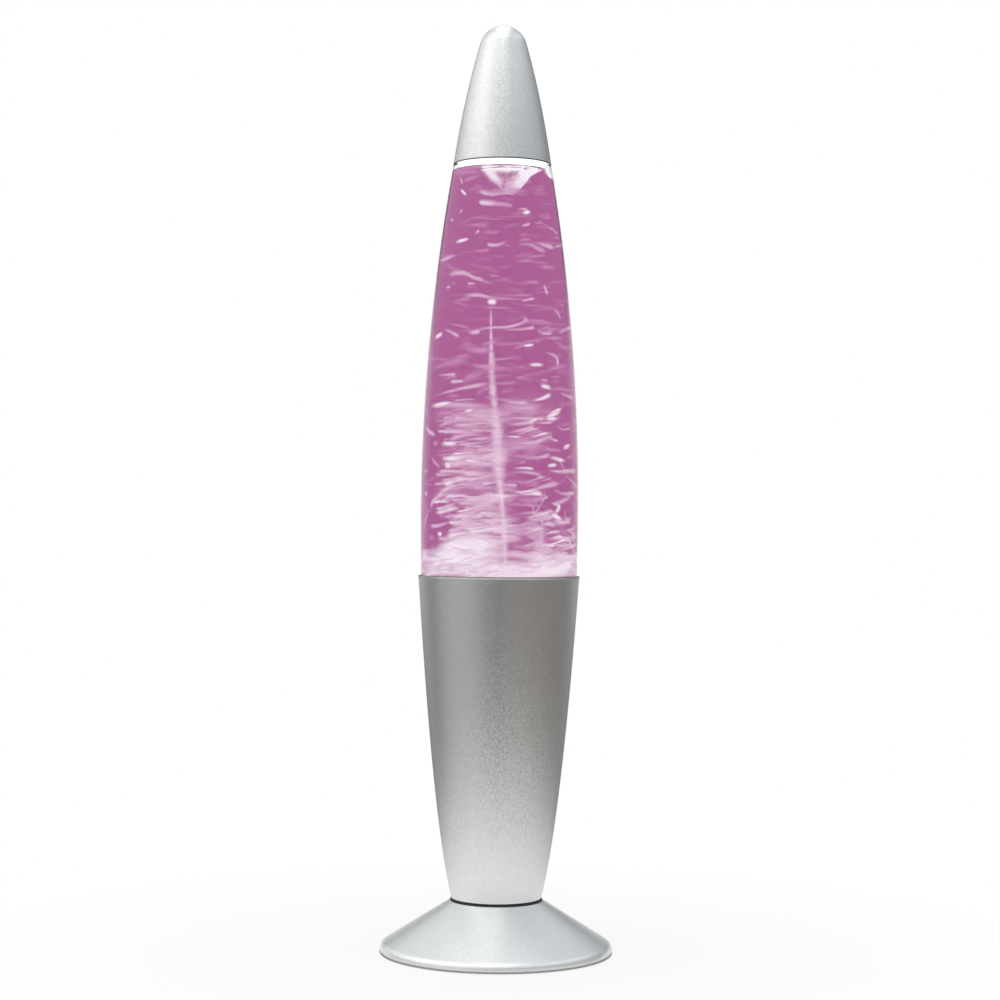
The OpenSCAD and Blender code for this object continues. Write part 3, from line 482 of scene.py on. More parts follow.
# %% Feathers left of the core
for tier, width, *points in (
    ("bright", 6, (449, 403), (432, 406)),
    ("pale", 7, (493, 406), (460, 405), (440, 405)),
    ("haze", 24, (496, 415), (465, 414), (438, 416)),
    ("pale", 6, (494, 421), (465, 419), (452, 418)),
    ("bright", 5, (472, 410), (464, 412)),
    ("pale", 5, (493, 424), (472, 421), (450, 422), (436, 427)),
    ("haze", 12, (496, 431), (468, 432), (441, 430)),
    ("pale", 5, (493, 429), (483, 431), (460, 432), (441, 429)),
    ("pale", 7, (425, 425), (427, 431), (433, 434)),
    ("pale", 5, (482, 434), (462, 436), (447, 440)),
    ("haze", 14, (496, 443), (480, 442), (452, 448)),
    ("bright", 6, (455, 444), (442, 444)),
    ("pale", 6, (432, 443), (436, 444)),
    ("haze", 14, (498, 458), (472, 458), (447, 462)),
    ("bright", 7, (463, 458), (444, 459)),
    ("bright", 8, (450, 466), (444, 465)),
    ("pale", 5, (493, 459), (470, 463), (448, 466)),
    ("pale", 4, (430, 456), (433, 462), (440, 468)),
    ("pale", 5, (498, 473), (476, 473), (447, 471), (436, 473)),
    ("haze", 16, (500, 477), (476, 476), (446, 479)),
    ("bright", 5, (480, 478), (458, 480), (441, 485)),
    ("pale", 5, (476, 484), (452, 486), (434, 498)),
    ("haze", 22, (504, 488), (474, 488), (440, 496)),
    ("pale", 6, (476, 487), (452, 491), (434, 499), (429, 509)),
    ("pale", 6, (500, 497), (478, 499), (462, 500)),
    ("haze", 18, (507, 504), (482, 504), (455, 500)),
    ("bright", 6, (461, 508), (447, 510), (434, 513)),
    ("pale", 6, (506, 498), (482, 508), (460, 515), (452, 521)),
    ("haze", 22, (508, 514), (484, 517), (462, 526)),
    ("pale", 7, (508, 521), (480, 523), (458, 529), (446, 534)),
    ("pale", 5, (428, 508), (424, 520), (422, 530)),
    ("pale", 5, (452, 520), (440, 525), (428, 526)),
):
    stroke(tier, width, points)

# %% Feathers right of the core
for tier, width, *points in (
    ("pale", 6, (496, 399), (513, 402), (529, 402)),
    ("bright", 5, (529, 402), (540, 399), (551, 394)),
    ("haze", 14, (500, 409), (522, 407), (544, 411)),
    ("pale", 5, (500, 417), (530, 419), (546, 418)),
    ("bright", 5, (546, 415), (561, 409)),
    ("bright", 5, (546, 417), (558, 413)),
    ("bright", 5, (545, 419), (555, 419)),
    ("pale", 5, (505, 425), (520, 424), (536, 421)),
    ("faint", 6, (533, 424), (550, 422), (561, 416)),
    ("pale", 5, (506, 433), (522, 430), (535, 426)),
    ("pale", 5, (507, 443), (530, 443), (549, 437)),
    ("pale", 4, (546, 438), (556, 441)),
    ("faint", 7, (506, 449), (525, 447), (540, 444)),
    ("bright", 6, (563, 448), (569, 446)),
    ("pale", 5, (508, 456), (536, 458), (550, 454)),
    ("bright", 5, (551, 458), (563, 461)),
    ("bright", 5, (547, 466), (555, 465)),
    ("pale", 5, (504, 474), (521, 472), (537, 475), (540, 480)),
    ("bright", 5, (546, 471), (560, 472), (577, 471)),
    ("faint", 8, (514, 482), (540, 483)),
    ("pale", 6, (520, 495), (538, 488), (559, 483)),
    ("bright", 6, (530, 492), (540, 494)),
    ("pale", 5, (551, 489), (562, 494), (576, 493)),
    ("faint", 8, (512, 499), (530, 500), (548, 497)),
    ("pale", 6, (510, 515), (532, 513), (549, 515)),
    ("bright", 6, (548, 503), (558, 506), (554, 514)),
    ("pale", 7, (555, 504), (568, 498)),
    ("bright", 6, (551, 515), (560, 519)),
    ("faint", 8, (512, 532), (530, 535), (546, 540)),
    ("faint", 6, (508, 528), (526, 524), (540, 521)),
):
    stroke(tier, width, points)

# %% Clouds over the lights
for tier, width, *points in (
    ("haze", 34, (510, 418), (480, 418), (440, 420)),
    ("haze", 40, (512, 452), (482, 452), (446, 456)),
    ("haze", 40, (512, 482), (480, 484), (440, 492)),
    ("mist", 24, (511, 496), (492, 497), (466, 502)),
    ("mist", 26, (512, 520), (484, 519), (458, 528)),
    ("mist", 32, (514, 536), (484, 536), (444, 546)),
    ("bright", 30, (500, 548), (472, 549), (444, 553)),
    ("bright", 30, (496, 561), (464, 559), (432, 562)),
    ("mist", 26, (534, 569), (494, 568), (444, 571)),
    ("bright", 16, (520, 573), (480, 572), (458, 572)),
    ("haze", 40, (504, 410), (524, 409), (552, 410)),
    ("haze", 34, (504, 446), (524, 444), (548, 440)),
    ("haze", 24, (512, 538), (530, 531), (558, 523)),
    ("haze", 30, (524, 528), (538, 540), (548, 562)),
    ("bright", 9, (526, 521), (540, 516), (553, 518)),
    ("mist", 11, (545, 513), (555, 518), (560, 528)),
    ("pale", 8, (530, 520), (539, 530), (540, 546)),
    ("pale", 7, (526, 536), (538, 542), (546, 558)),
    ("bright", 6, (536, 527), (546, 524), (556, 526)),
    ("bright", 6, (530, 548), (541, 545), (552, 549)),
    ("pale", 7, (549, 524), (562, 523), (572, 518)),
    ("pale", 7, (544, 540), (558, 538), (574, 541)),
    ("pale", 7, (546, 556), (560, 559), (578, 556)),
    ("mist", 24, (522, 556), (546, 558), (580, 557)),
    ("mist", 26, (512, 567), (542, 566), (580, 563)),
    ("bright", 20, (526, 571), (548, 569), (576, 567)),
    ("faint", 26, (418, 566), (430, 566), (446, 566)),
    ("bright", 15, (448, 566), (500, 569), (540, 569), (576, 565)),
    ("spot", 13, (580, 571), (540, 573), (500, 573), (440, 572)),
    ("spot", 11, (440, 572), (500, 574), (540, 573), (582, 570)),
    ("mist", 26, (502, 420), (484, 420), (458, 422)),
    ("mist", 28, (504, 455), (484, 457), (456, 461)),
    ("bright", 22, (488, 538), (464, 542), (438, 553)),
    ("bright", 18, (516, 565), (545, 564), (578, 560)),
    ("faint", 14, (484, 171), (468, 171), (452, 173)),
    ("bright", 13, (510, 190), (522, 178), (534, 164)),
    ("bright", 12, (500, 184), (490, 174), (482, 164)),
    ("pale", 8, (504, 194), (507, 186), (514, 178)),
    ("pale", 7, (455, 166), (468, 165), (484, 166)),
    ("pale", 6, (552, 168), (545, 166), (536, 166)),
):
    stroke(tier, width, points, 0.8)
for tier, width, *points in (
    ("pale", 4, (482, 528), (500, 526), (508, 524)),
    ("bright", 6, (437, 534), (441, 534)),
    ("pale", 5, (450, 541), (470, 537), (486, 540), (497, 546)),
    ("pale", 4, (446, 545), (462, 550), (478, 551)),
    ("bright", 6, (432, 564), (439, 563)),
    ("pale", 5, (423, 569), (432, 568)),
    ("bright", 5, (440, 568), (447, 568)),
    ("pale", 5, (440, 549), (430, 556), (424, 561)),
    ("pale", 4, (549, 541), (558, 537), (568, 541), (574, 551)),
    ("pale", 4, (551, 550), (558, 547), (565, 546)),
    ("pale", 4, (553, 553), (555, 561), (567, 562)),
    ("pale", 5, (567, 530), (574, 534)),
    ("faint", 10, (500, 560), (520, 563), (534, 561)),
    ("faint", 7, (560, 531), (574, 541)),
):
    stroke(tier, width, points)

# %% [markdown]
# Thin threads of liquid curl between the strokes on the right.

# %% Curls
for points in (
    ((541, 487), (543, 498), (533, 514), (527, 520)),
    ((526, 505), (532, 508), (531, 515)),
    ((547, 454), (558, 461), (564, 471)),
    ((560, 472), (570, 480), (577, 488)),
    ((552, 544), (563, 543), (571, 548), (575, 556)),
    ((556, 553), (549, 560), (556, 566), (562, 561)),
    ((538, 560), (545, 556), (546, 566)),
    ((566, 507), (564, 516), (569, 522)),
    ((554, 425), (562, 430), (571, 428)),
    ((571, 415), (574, 425)),
):
    stroke("pale", 2.4, points, 0.94)
print("set strokes", {tier: len(rows) for tier, rows in tiers.items()})

# %% [markdown]
# ## Fine strands
# Between the set strokes lie hundreds of finer ones, placed by chance. Left of the core they leave
# it level and droop outward, lower down more so. Right of it they rise. They keep inside the
# swirl's outline, which is given by a few rows and columns, and grow paler towards the lights.

# %% Strands about the core
rng = random.Random(11)
CORE = ((395, 493), (420, 496), (450, 499), (475, 501), (495, 504), (520, 507), (576, 510))
LEFT = ((395, 450), (405, 433), (440, 440), (470, 437), (500, 431), (522, 452), (538, 446), (552, 431),
        (576, 424))
RIGHT = ((395, 546), (420, 550), (440, 549), (470, 546), (495, 550), (512, 560), (530, 574), (576, 578))


def column_at(line, row):
    """Column of an outline at a row."""
    for (r0, c0), (r1, c1) in zip(line, line[1:]):
        if row <= r1:
            return c0 + (c1 - c0) * max(0, row - r0) / (r1 - r0)
    return line[-1][1]


def strand(side, row):
    """One fine stroke from near the core outward to one side."""
    low = smooth(400, 560, row)
    core, rim = column_at(CORE, row), column_at(LEFT if side < 0 else RIGHT, row)
    start = core + (rim - core) * rng.uniform(0, 0.8)
    length = min(rng.uniform(10, 36), abs(rim - start) + 3)
    droop = rng.uniform(-0.12, 0.16 + 0.34 * low) if side < 0 else rng.uniform(-0.36, 0.08)
    sag = rng.uniform(-2.5, 2.5)
    points = []
    for t in (0, 0.35, 0.7, 1):
        points.append((start + side * length * t, row + droop * length * t + sag * t * (1 - t) * 2))
    pick = rng.random() + 0.35 * low
    tier = "faint" if pick < 0.5 else "pale" if pick < 0.95 else "bright"
    stroke(tier, rng.uniform(1.6, 3.2) + 1.4 * low, points, rng.uniform(0.74, 0.94))


for _ in range(190):
    strand(-1, 396 + 178 * rng.random() ** 0.85)
for _ in range(105):
    row = 398 + 176 * rng.random() ** 0.7
    if row < 440 or row > 516 or rng.random() < 0.35:
        strand(1, row)

# %% Wisps above
for _ in range(150):
    row = rng.uniform(178, 430)
    half = (glass_inside(EYE_Z + (EYE_ROW - row) * UNIT) - 3) / UNIT
    column = 500 + rng.uniform(-0.95, 0.9) * half
    length = rng.uniform(7, 26)
    rise = rng.uniform(-0.22, 0.22)
    points = [(column + length * t, row + rise * length * t + rng.uniform(-1, 1)) for t in (0, 0.5, 1)]
    tier = "wisp" if rng.random() < 0.75 else "faint"
    stroke(tier, rng.uniform(2.5, 6), points, rng.uniform(0.6, 0.94))

# %% [markdown]
# ## Strokes all round
# The sides and the back of the bottle are filled by chance too: strokes on spirals about the axis,
# sparse near the top and denser towards the lights.

# %% Scatter the rest
LOW = FLOOR + 14
HIGH = FILL - 14
SHARES = [k / 12 for k in range(13)]


def spiral(z, rise, angle, sweep, r, drift, wide, widths):
    """A ribbon about the axis that rises, drifts in or out and has a half width at each share."""
    path = []
    for t, width in zip(SHARES, widths):
        far = min(wide, max(2, r + drift * t))
        a = angle + sweep * t
        path.append((far * math.cos(a), far * math.sin(a), z + rise * t * t, width))
    return path


for _ in range(300):
    z = HIGH - (HIGH - LOW) * rng.random() ** 0.62
    low = smooth(262, 168, z)
    wide = glass_inside(max(z, CUP_RIM - 40)) - 1.5
    angle = rng.uniform(-0.6, math.pi + 0.6)
    r = wide * rng.uniform(0.35, 0.98)
    sweep = rng.choice((-1, 1)) * rng.uniform(4, 15) / r
    rise = rng.uniform(-1.4, 2.0)
    width = rng.uniform(0.5, 1.1) * (1 + 0.8 * low)
    drift = rng.uniform(-2, 2)
    widths = [width * (0.6 + 0.4 * t) for t in SHARES]
    pick = rng.random() + 0.25 * low
    tier = "wisp" if pick < 0.4 else "faint" if pick < 0.9 else "pale"
    tiers[tier].append(spiral(z, rise, angle, sweep, r, drift, wide, widths))

# %% [markdown]
# Just over the cup's rim the lights make the rear of the swirl cloudy as well.

# %% Clouds on the far side
rng = random.Random(23)
for _ in range(44):
    z = CUP_RIM + 1 + 9 * rng.random() ** 2
    wide = glass_inside(z) - 1.5
    angle = rng.uniform(-0.5, math.pi + 0.5)
    r = wide * rng.uniform(0.8, 0.97)
    sweep = rng.choice((-1, 1)) * rng.uniform(9, 22) / r
    width = rng.uniform(1.2, 3.0)
    widths = [width * (1 - abs(2 * t - 1) ** 3) for t in SHARES]
    tier = "mist" if rng.random() < 0.4 else "pale"
    tiers[tier].append(spiral(z, 1.5, angle, sweep, r, 0, wide, widths))

# %% [markdown]
# ## The vortex's core
# Down the middle runs a column of fine bubbles. It leans and sways, since the vortex wanders. It
# is drawn as three crossed ribbons that stand along it, soft at their long edges.

# %% Core ribbons
core_line = [(-3.4, 278, 0.6), (-3.2, 262, 0.8), (-3.0, 256, 1.4), (-2.6, 242, 1.9), (-1.7, 232, 2.0)]
core_line += [(-0.9, 222, 3.4), (-0.3, 206, 3.3), (0.2, 200, 1.8), (1.2, 187, 1.5), (1.9, 172, 1.9)]
core_line += [(2.0, 140, 2.0), (0.8, 118, 1.6)]
crossed = []
for turn in (0, 60, 120):
    way = Vector((math.cos(math.radians(turn)), math.sin(math.radians(turn)), 0))
    pairs = []
    for x, z, half in along(core_line, 96):
        middle = Vector((x, 0, z))
        pairs.append((middle - half * way, middle + half * way))
    crossed.append(pairs[::-1])
core = stroke_piece("vortex_core", crossed)

# %% [markdown]
# ## Froth on the funnel
# A veil of froth hangs just under the funnel's wall. It shines with painted light of the lamp's
# diodes: thick and white on the right flank and at the mouth, and thin and pink in the middle.
# Wisps run down the left flank.

# %% Froth veil
SINK = 0.35
VEIL_RINGS = 24
rings = []
for i in range(VEIL_RINGS + 1):
    ring = []
    for x, y, _ in circle(FUNNEL_R * (0.02 + 1.05 * i / VEIL_RINGS), 0, 96):
        x += FUNNEL_X
        ring.append((x, y, FILL - CREEP - SINK - funnel_dip(x, y)))
    rings.append(ring)
veil = ringed("funnel_froth", rings, 60)

# %% Put the streaks in the bottle
streaks = []
for tier, rows in tiers.items():
    streaks.append(stroke_piece("streaks_" + tier, [facing_outward(path) for path in rows]))
streaks += [core, veil]
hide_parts("glitter_swirl")
for piece in streaks:
    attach(piece, "bottle")

# %% [markdown]
# ## Nodes
# A finish is a small net of nodes. Each helper below adds one node to a net, and an input takes
# a plain value or the output of another node.

# %% Node helpers
def fill(tree, node, inputs):
    """Sets a node's inputs to plain values, or links them to the outputs of other nodes."""
    for label, source in inputs.items():
        if isinstance(source, bpy.types.NodeSocket):
            tree.links.new(source, node.inputs[label])
        else:
            node.inputs[label].default_value = source


def add(tree, kind, inputs):
    """A new node with its inputs filled; returns its outputs."""
    node = tree.nodes.new(kind)
    fill(tree, node, inputs)
    return node.outputs


def noise(tree, inputs):
    """Soft noise between 0 and 1."""
    return add(tree, "ShaderNodeTexNoise", inputs)["Fac"]


def bumped(tree, inputs):
    """The normal of a surface with a height on it."""
    return add(tree, "ShaderNodeBump", inputs)["Normal"]


def math_of(tree, operation, *sources):
    """A sum, a product or the larger of some values."""
    node = tree.nodes.new("ShaderNodeMath")
    node.operation = operation
    fill(tree, node, dict(enumerate(sources)))
    return node.outputs["Value"]


def product(tree, first, *others):
    """Values multiplied together."""
    for other in others:
        first = math_of(tree, "MULTIPLY", first, other)
    return first


def vector_of(tree, operation, inputs):
    """A sum, a scaled copy or the length of vectors."""
    node = tree.nodes.new("ShaderNodeVectorMath")
    node.operation = operation
    fill(tree, node, inputs)
    return node.outputs["Value" if operation == "LENGTH" else "Vector"]


def blend(tree, factor, a, b):
    """A mix of two colours."""
    node = tree.nodes.new("ShaderNodeMix")
    node.data_type = "RGBA"
    fill(tree, node, {"Factor": factor, "A": a, "B": b})
    return node.outputs["Result"]


def rescale(tree, value, low, high, to_low=0.0, to_high=1.0, kind="LINEAR"):
    """A value carried from one range to another."""
    node = tree.nodes.new("ShaderNodeMapRange")
    node.interpolation_type = kind
    fill(tree, node, {"Value": value, "From Min": low, "From Max": high, "To Min": to_low, "To Max": to_high})
    return node.outputs["Result"]


def soft_step(tree, value, low, high, top=1.0):
    """A soft step of a value, from 0 at low to top at high."""
    return rescale(tree, value, low, high, 0.0, top, "SMOOTHSTEP")


def tone_ramp(tree, value, first, last, between, tint):
    """A colour ramp from a first to a last stop, with tinted greys between them."""
    node = tree.nodes.new("ShaderNodeValToRGB")
    stops = node.color_ramp.elements
    for stop, (at, color) in zip(stops, (first, last)):
        stop.position = at
        stop.color = (*color, 1)
    for at, tone in between:
        stops.new(at).color = (*(part * tone for part in tint), 1)
    fill(tree, node, {"Fac": value})
    return node.outputs["Color"]


def spot_in(tree):
    """A point's place on its piece."""
    return add(tree, "ShaderNodeTexCoord", {})["Object"]


def axes_of(tree, vector):
    """The X, Y and Z of a vector."""
    return tuple(add(tree, "ShaderNodeSeparateXYZ", {"Vector": vector}))


def seen_straight(tree):
    """The kinds of a ray, and whether it comes from the camera, straight or through clear pieces."""
    ray = add(tree, "ShaderNodeLightPath", {})
    return ray, math_of(tree, "MAXIMUM", ray["Is Camera Ray"], ray["Is Transmission Ray"])


# %% [markdown]
# ## Shared effects
# Two effects are shared. Grain gives plastics, rubbers and plain metals two close tones, an
# uneven gloss and a fine texture. Flakes turn each small cell of the lacquer a little, as the
# metal flakes in the paint do, so the silver sparkles instead of looking like plain steel.

# %% Grain group
FLOAT = "NodeSocketFloat"
COLOR = "NodeSocketColor"
VECTOR = "NodeSocketVector"


def new_group(name, inputs, outputs):
    """A shader node group with named sockets; returns it, what comes in and its far end."""
    group = bpy.data.node_groups.new(name, "ShaderNodeTree")
    for label, kind, value in inputs:
        socket = group.interface.new_socket(label, in_out="INPUT", socket_type=kind)
        socket.default_value = value
    for label, kind in outputs:
        group.interface.new_socket(label, in_out="OUTPUT", socket_type=kind)
    print("group", name)
    return group, group.nodes.new("NodeGroupInput").outputs, group.nodes.new("NodeGroupOutput")


grain, g_in, g_out = new_group(
    "fine_grain",
    [("Tone A", COLOR, (0.5, 0.5, 0.5, 1)), ("Tone B", COLOR, (0.6, 0.6, 0.6, 1)), ("Scale", FLOAT, 900),
     ("Gloss Low", FLOAT, 0.3), ("Gloss High", FLOAT, 0.5)],
    [("Color", COLOR), ("Roughness", FLOAT), ("Height", FLOAT)],
)
spot = spot_in(grain)
fine = noise(grain, {"Vector": spot, "Scale": g_in["Scale"], "Detail": 6})
broad = noise(grain, {"Vector": spot, "Scale": 60})
fill(grain, g_out, {
    "Color": blend(grain, broad, g_in["Tone A"], g_in["Tone B"]),
    "Roughness": rescale(grain, fine, 0, 1, g_in["Gloss Low"], g_in["Gloss High"]),
    "Height": fine,
})

# %% Flake group
flakes, f_in, f_out = new_group(
    "lacquer_flakes",
    [("Scale", FLOAT, 2400), ("Tilt", FLOAT, 0.2), ("Gloss Low", FLOAT, 0.3), ("Gloss High", FLOAT, 0.4),
     ("Tone A", COLOR, (0.7, 0.7, 0.7, 1)), ("Tone B", COLOR, (0.8, 0.8, 0.8, 1))],
    [("Color", COLOR), ("Roughness", FLOAT), ("Normal", VECTOR)],
)
spot = spot_in(flakes)
cells = add(flakes, "ShaderNodeTexVoronoi", {"Vector": spot, "Scale": f_in["Scale"]})["Color"]
shade = add(flakes, "ShaderNodeSeparateColor", {"Color": cells})
level = vector_of(flakes, "SUBTRACT", {0: cells, 1: (0.5, 0.5, 0.5)})
tilt = vector_of(flakes, "SCALE", {0: level, "Scale": f_in["Tilt"]})
turn = vector_of(flakes, "ADD", {0: add(flakes, "ShaderNodeNewGeometry", {})["Normal"], 1: tilt})
fill(flakes, f_out, {
    "Color": blend(flakes, shade["Red"], f_in["Tone A"], f_in["Tone B"]),
    "Roughness": rescale(flakes, shade["Green"], 0, 1, f_in["Gloss Low"], f_in["Gloss High"]),
    "Normal": vector_of(flakes, "NORMALIZE", {0: turn}),
})


# %% Finish helpers
def new_finish(name, values):
    """A material with one Principled shader and its fixed values; returns it, its tree and its shader."""
    finish = bpy.data.materials.new(name)
    finish.use_nodes = True
    shader = finish.node_tree.nodes["Principled BSDF"]
    fill(finish.node_tree, shader, values)
    return finish, finish.node_tree, shader


def put_group(tree, group, inputs):
    """Places a shared group in a material with its own values; returns its outputs."""
    node = tree.nodes.new("ShaderNodeGroup")
    node.node_tree = group
    fill(tree, node, inputs)
    return node.outputs


def grained(name, tone_a, tone_b, gloss, scale, rise, values=None):
    """A finish with grain: two tones, a range of roughness, a grain size and a bump in millimetres."""
    finish, tree, shader = new_finish(name, values or {})
    box = put_group(tree, grain, {
        "Tone A": (*tone_a, 1), "Tone B": (*tone_b, 1), "Scale": scale,
        "Gloss Low": gloss[0], "Gloss High": gloss[1],
    })
    normal = bumped(tree, {"Height": box["Height"], "Distance": rise * MM, "Strength": 0.6})
    fill(tree, shader, {"Base Color": box["Color"], "Roughness": box["Roughness"], "Normal": normal})
    return finish


def paint(piece, finish):
    """Gives a piece one finish."""
    piece.data.materials.clear()
    piece.data.materials.append(finish)


# %% [markdown]
# ## Silver lacquer
# Cap, cup and foot are sprayed with silver. It is a metal with a satin gloss: the flakes give
# each small cell its own tilt, tone and gloss. The cells are about a third of a millimetre wide,
# so they show as a fine glitter from arm's length. The foot has a finer batch in a lighter copy of
# the lacquer, a painted highlight. The top of the cup's rolled rim is painted near-black, and the
# foot turns dark grey low on its skirt: both are painted shade.

# %% Spray the silver
def lacquered(name, tone_a, tone_b, scale, tilt):
    """A silver lacquer; returns it, its tree, its shader and its plain colour."""
    finish, tree, shader = new_finish(name, {"Metallic": 1.0})
    box = put_group(tree, flakes, {
        "Tone A": (*tone_a, 1), "Tone B": (*tone_b, 1), "Scale": scale, "Tilt": tilt,
        "Gloss Low": 0.3, "Gloss High": 0.42,
    })
    fill(tree, shader, {"Base Color": box["Color"], "Roughness": box["Roughness"], "Normal": box["Normal"]})
    return finish, tree, shader, box["Color"]


silver, *_ = lacquered("silver_lacquer", (0.72, 0.73, 0.725), (0.84, 0.85, 0.845), 3200, 0.125)
for piece in (cup_shell, cap_shell):
    paint(piece, silver)
# The foot's lacquer is a lighter copy of the silver: painted highlight.
foot_highlight_lacquer, tree, shader, coat = lacquered("foot_lacquer_painted_light", (0.8, 0.81, 0.805), (0.94, 0.95, 0.945), 3600, 0.1)
x, y, z = axes_of(tree, spot_in(tree))
# Below about a millimetre the foot turns dark grey: painted shade at the table.
painted_hem_shade = rescale(tree, z, 0.8 * MM, 1.4 * MM)
fill(tree, shader, {"Base Color": blend(tree, painted_hem_shade, (0.45, 0.45, 0.45, 1), coat)})
paint(nodes["foot"], foot_highlight_lacquer)
# Near-black finish on the top of the cup's rolled rim: painted shade.
painted_rim_shade = grained("painted_rim_shade", (0.15, 0.14, 0.135), (0.19, 0.18, 0.17), (0.6, 0.75), 900, 0.01,
                    {"Specular IOR Level": 0.2})
cup_shell.data.materials.append(painted_rim_shade)
for face in cup_shell.data.polygons:
    shaded_bead_top = face.center.z > (bead_at[1] + 0.15) * MM
    face.material_index = 1 if shaded_bead_top else 0

# %% [markdown]
# Inside, the cap is bare metal that catches the lamp's own light through the neck, most of all
# near its rim. A little of its own glow stands for that light, and fades towards the tip.

# %% Light the cap's inside
lit, tree, shader = new_finish("cap_inside", {"Metallic": 0.6, "Roughness": 0.6, "Emission Strength": 1.0})
box = put_group(tree, grain, {"Tone A": (0.8, 0.8, 0.79, 1), "Tone B": (0.9, 0.9, 0.89, 1), "Scale": 700})
x, y, z = axes_of(tree, spot_in(tree))
fade = rescale(tree, z, (SEAT + 10) * MM, (SEAT + 30) * MM, 1.0, 0.05)
glow = blend(tree, fade, (0, 0, 0, 1), (1, 0.99, 1, 1))
fill(tree, shader, {"Emission Color": glow, "Base Color": box["Color"]})
cap_shell.data.materials.append(lit)
# The cap's rim band and lower face are the sheet's cut edge, painted near-black as the shadow line under the
# rim.
bare = grained("bare_edge_and_shadow", (0.03, 0.03, 0.03), (0.06, 0.06, 0.06), (0.5, 0.7), 900, 0.01)
cap_shell.data.materials.append(bare)
inner_start = len(cap_outside) * ROUND + 1
for face in cap_shell.data.polygons:
    low, high = min(face.vertices), max(face.vertices)
    shadow_band_face = high < 2 * ROUND or (low < ROUND and high >= inner_start)
    face.material_index = 2 if shadow_band_face else 1 if low >= inner_start else 0

# %% [markdown]
# ## Glass, liquid and streaks
# Glass and liquid are clear shaders that bend light. The liquid's tint sits on its skin, so its
# colour stays even from the middle to the edge, as in a bottle lit from all round. The streaks
# shine by themselves, because they only carry the light of the lamp's own diodes.

# %% Glass and liquid
CLEAR = {"Transmission Weight": 1.0}
glass, tree, shader = new_finish("bottle_glass", {**CLEAR, "Base Color": (1, 1, 1, 1), "IOR": 1.2})
waves = noise(tree, {"Scale": 35})
fill(tree, shader, {
    "Normal": bumped(tree, {"Height": waves, "Distance": 0.04 * MM}),
    "Roughness": rescale(tree, waves, 0, 1, 0.0, 0.03),
})
paint(nodes["bottle"], glass)

tint, tree, shader = new_finish("magenta_liquid", {**CLEAR, "IOR": 1.33, "Roughness": 0.02})
spot = spot_in(tree)
squeeze = add(tree, "ShaderNodeMapping", {"Vector": spot, "Scale": (26, 26, 120)})["Vector"]
wisps = noise(tree, {"Vector": squeeze, "Scale": 1.0, "Detail": 4})
fill(tree, shader, {"Base Color": blend(tree, wisps, (0.385, 0.088, 0.272, 1), (0.42, 0.108, 0.302, 1))})
paint(liquid, tint)

brim_tint, tree, shader = new_finish("liquid_brim", {
    **CLEAR, "IOR": 1.33, "Base Color": (0.98, 0.95, 0.97, 1), "Roughness": 0.03,
})
fill(tree, shader, {"Normal": bumped(tree, {"Height": noise(tree, {"Scale": 160}), "Distance": 0.2 * MM})})
liquid.data.materials.append(brim_tint)

# %% Stroke group
soft, s_in, s_out = new_group(
    "soft_stroke",
    [("Opacity", FLOAT, 0.6), ("Fibre", FLOAT, 0.7), ("Blunt", FLOAT, 0.8), ("Tail", COLOR, (1, 1, 1, 1)),
     ("Head", COLOR, (1, 1, 1, 1))],
    [("Color", COLOR), ("Mask", FLOAT)],
)
place = add(soft, "ShaderNodeTexCoord", {})
u, v, _ = axes_of(soft, place["UV"])
edges = soft_step(soft, math_of(soft, "ABSOLUTE", math_of(soft, "SUBTRACT", v, 0.5)), 0.5, 0.06)
ends = product(soft, soft_step(soft, u, 0.0, 0.4), soft_step(soft, u, 1.0, s_in["Blunt"]))
squeeze = add(soft, "ShaderNodeMapping", {"Vector": place["Object"], "Scale": (60, 60, 360)})["Vector"]
fibres = noise(soft, {"Vector": squeeze, "Scale": 1.0, "Detail": 4, "Distortion": 0.8})
fibres = soft_step(soft, fibres, 0.38, 0.58)
thin = add(soft, "ShaderNodeMix", {"Factor": s_in["Fibre"], "A": 1.0, "B": fibres})["Result"]
fill(soft, s_out, {
    "Color": blend(soft, u, s_in["Tail"], s_in["Head"]),
    "Mask": product(soft, edges, ends, thin, s_in["Opacity"]),
})

# %% Streak finishes
GLOW = {"Emission Strength": 1.0, "Specular IOR Level": 0.0, "Roughness": 0.7, "Base Color": (0, 0, 0, 1)}


def glowing(name, opacity, fibre, blunt, tail, head):
    """A stroke that shines by itself and fades at its edges; the tones may be brighter than white."""
    finish, tree, shader = new_finish(name, GLOW)
    box = put_group(tree, soft, {
        "Opacity": opacity, "Fibre": fibre, "Blunt": blunt, "Tail": (*tail, 1), "Head": (*head, 1),
    })
    fill(tree, shader, {"Emission Color": box["Color"], "Alpha": box["Mask"]})
    return finish


tier_looks = {
    "haze": (0.5, 0.8, 0.55, (1.05, 1.2, 1.05), (1.05, 1.2, 1.05)),
    "mist": (0.8, 0.85, 0.55, (1.35, 2.1, 1.5), (1.5, 2.6, 1.7)),
    "wisp": (0.3, 0.5, 0.6, (0.9, 0.85, 0.88), (1.0, 1.05, 1.0)),
    "faint": (0.5, 0.5, 0.7, (0.9, 0.85, 0.88), (1.05, 1.15, 1.05)),
    "pale": (0.75, 0.45, 0.75, (1.0, 1.1, 1.0), (1.3, 2.0, 1.45)),
    "bright": (0.95, 0.5, 0.7, (1.15, 1.6, 1.25), (1.5, 2.8, 1.75)),
    "spot": (0.97, 0.2, 0.55, (1.3, 2.1, 1.45), (1.55, 3.0, 1.85)),
}
for tier, piece in zip(tiers, streaks):
    paint(piece, glowing("stroke_" + tier, *tier_looks[tier]))
paint(core, glowing("core_light", 0.92, 0.55, 0.95, (1.3, 2.0, 1.45), (1.1, 1.4, 1.15)))
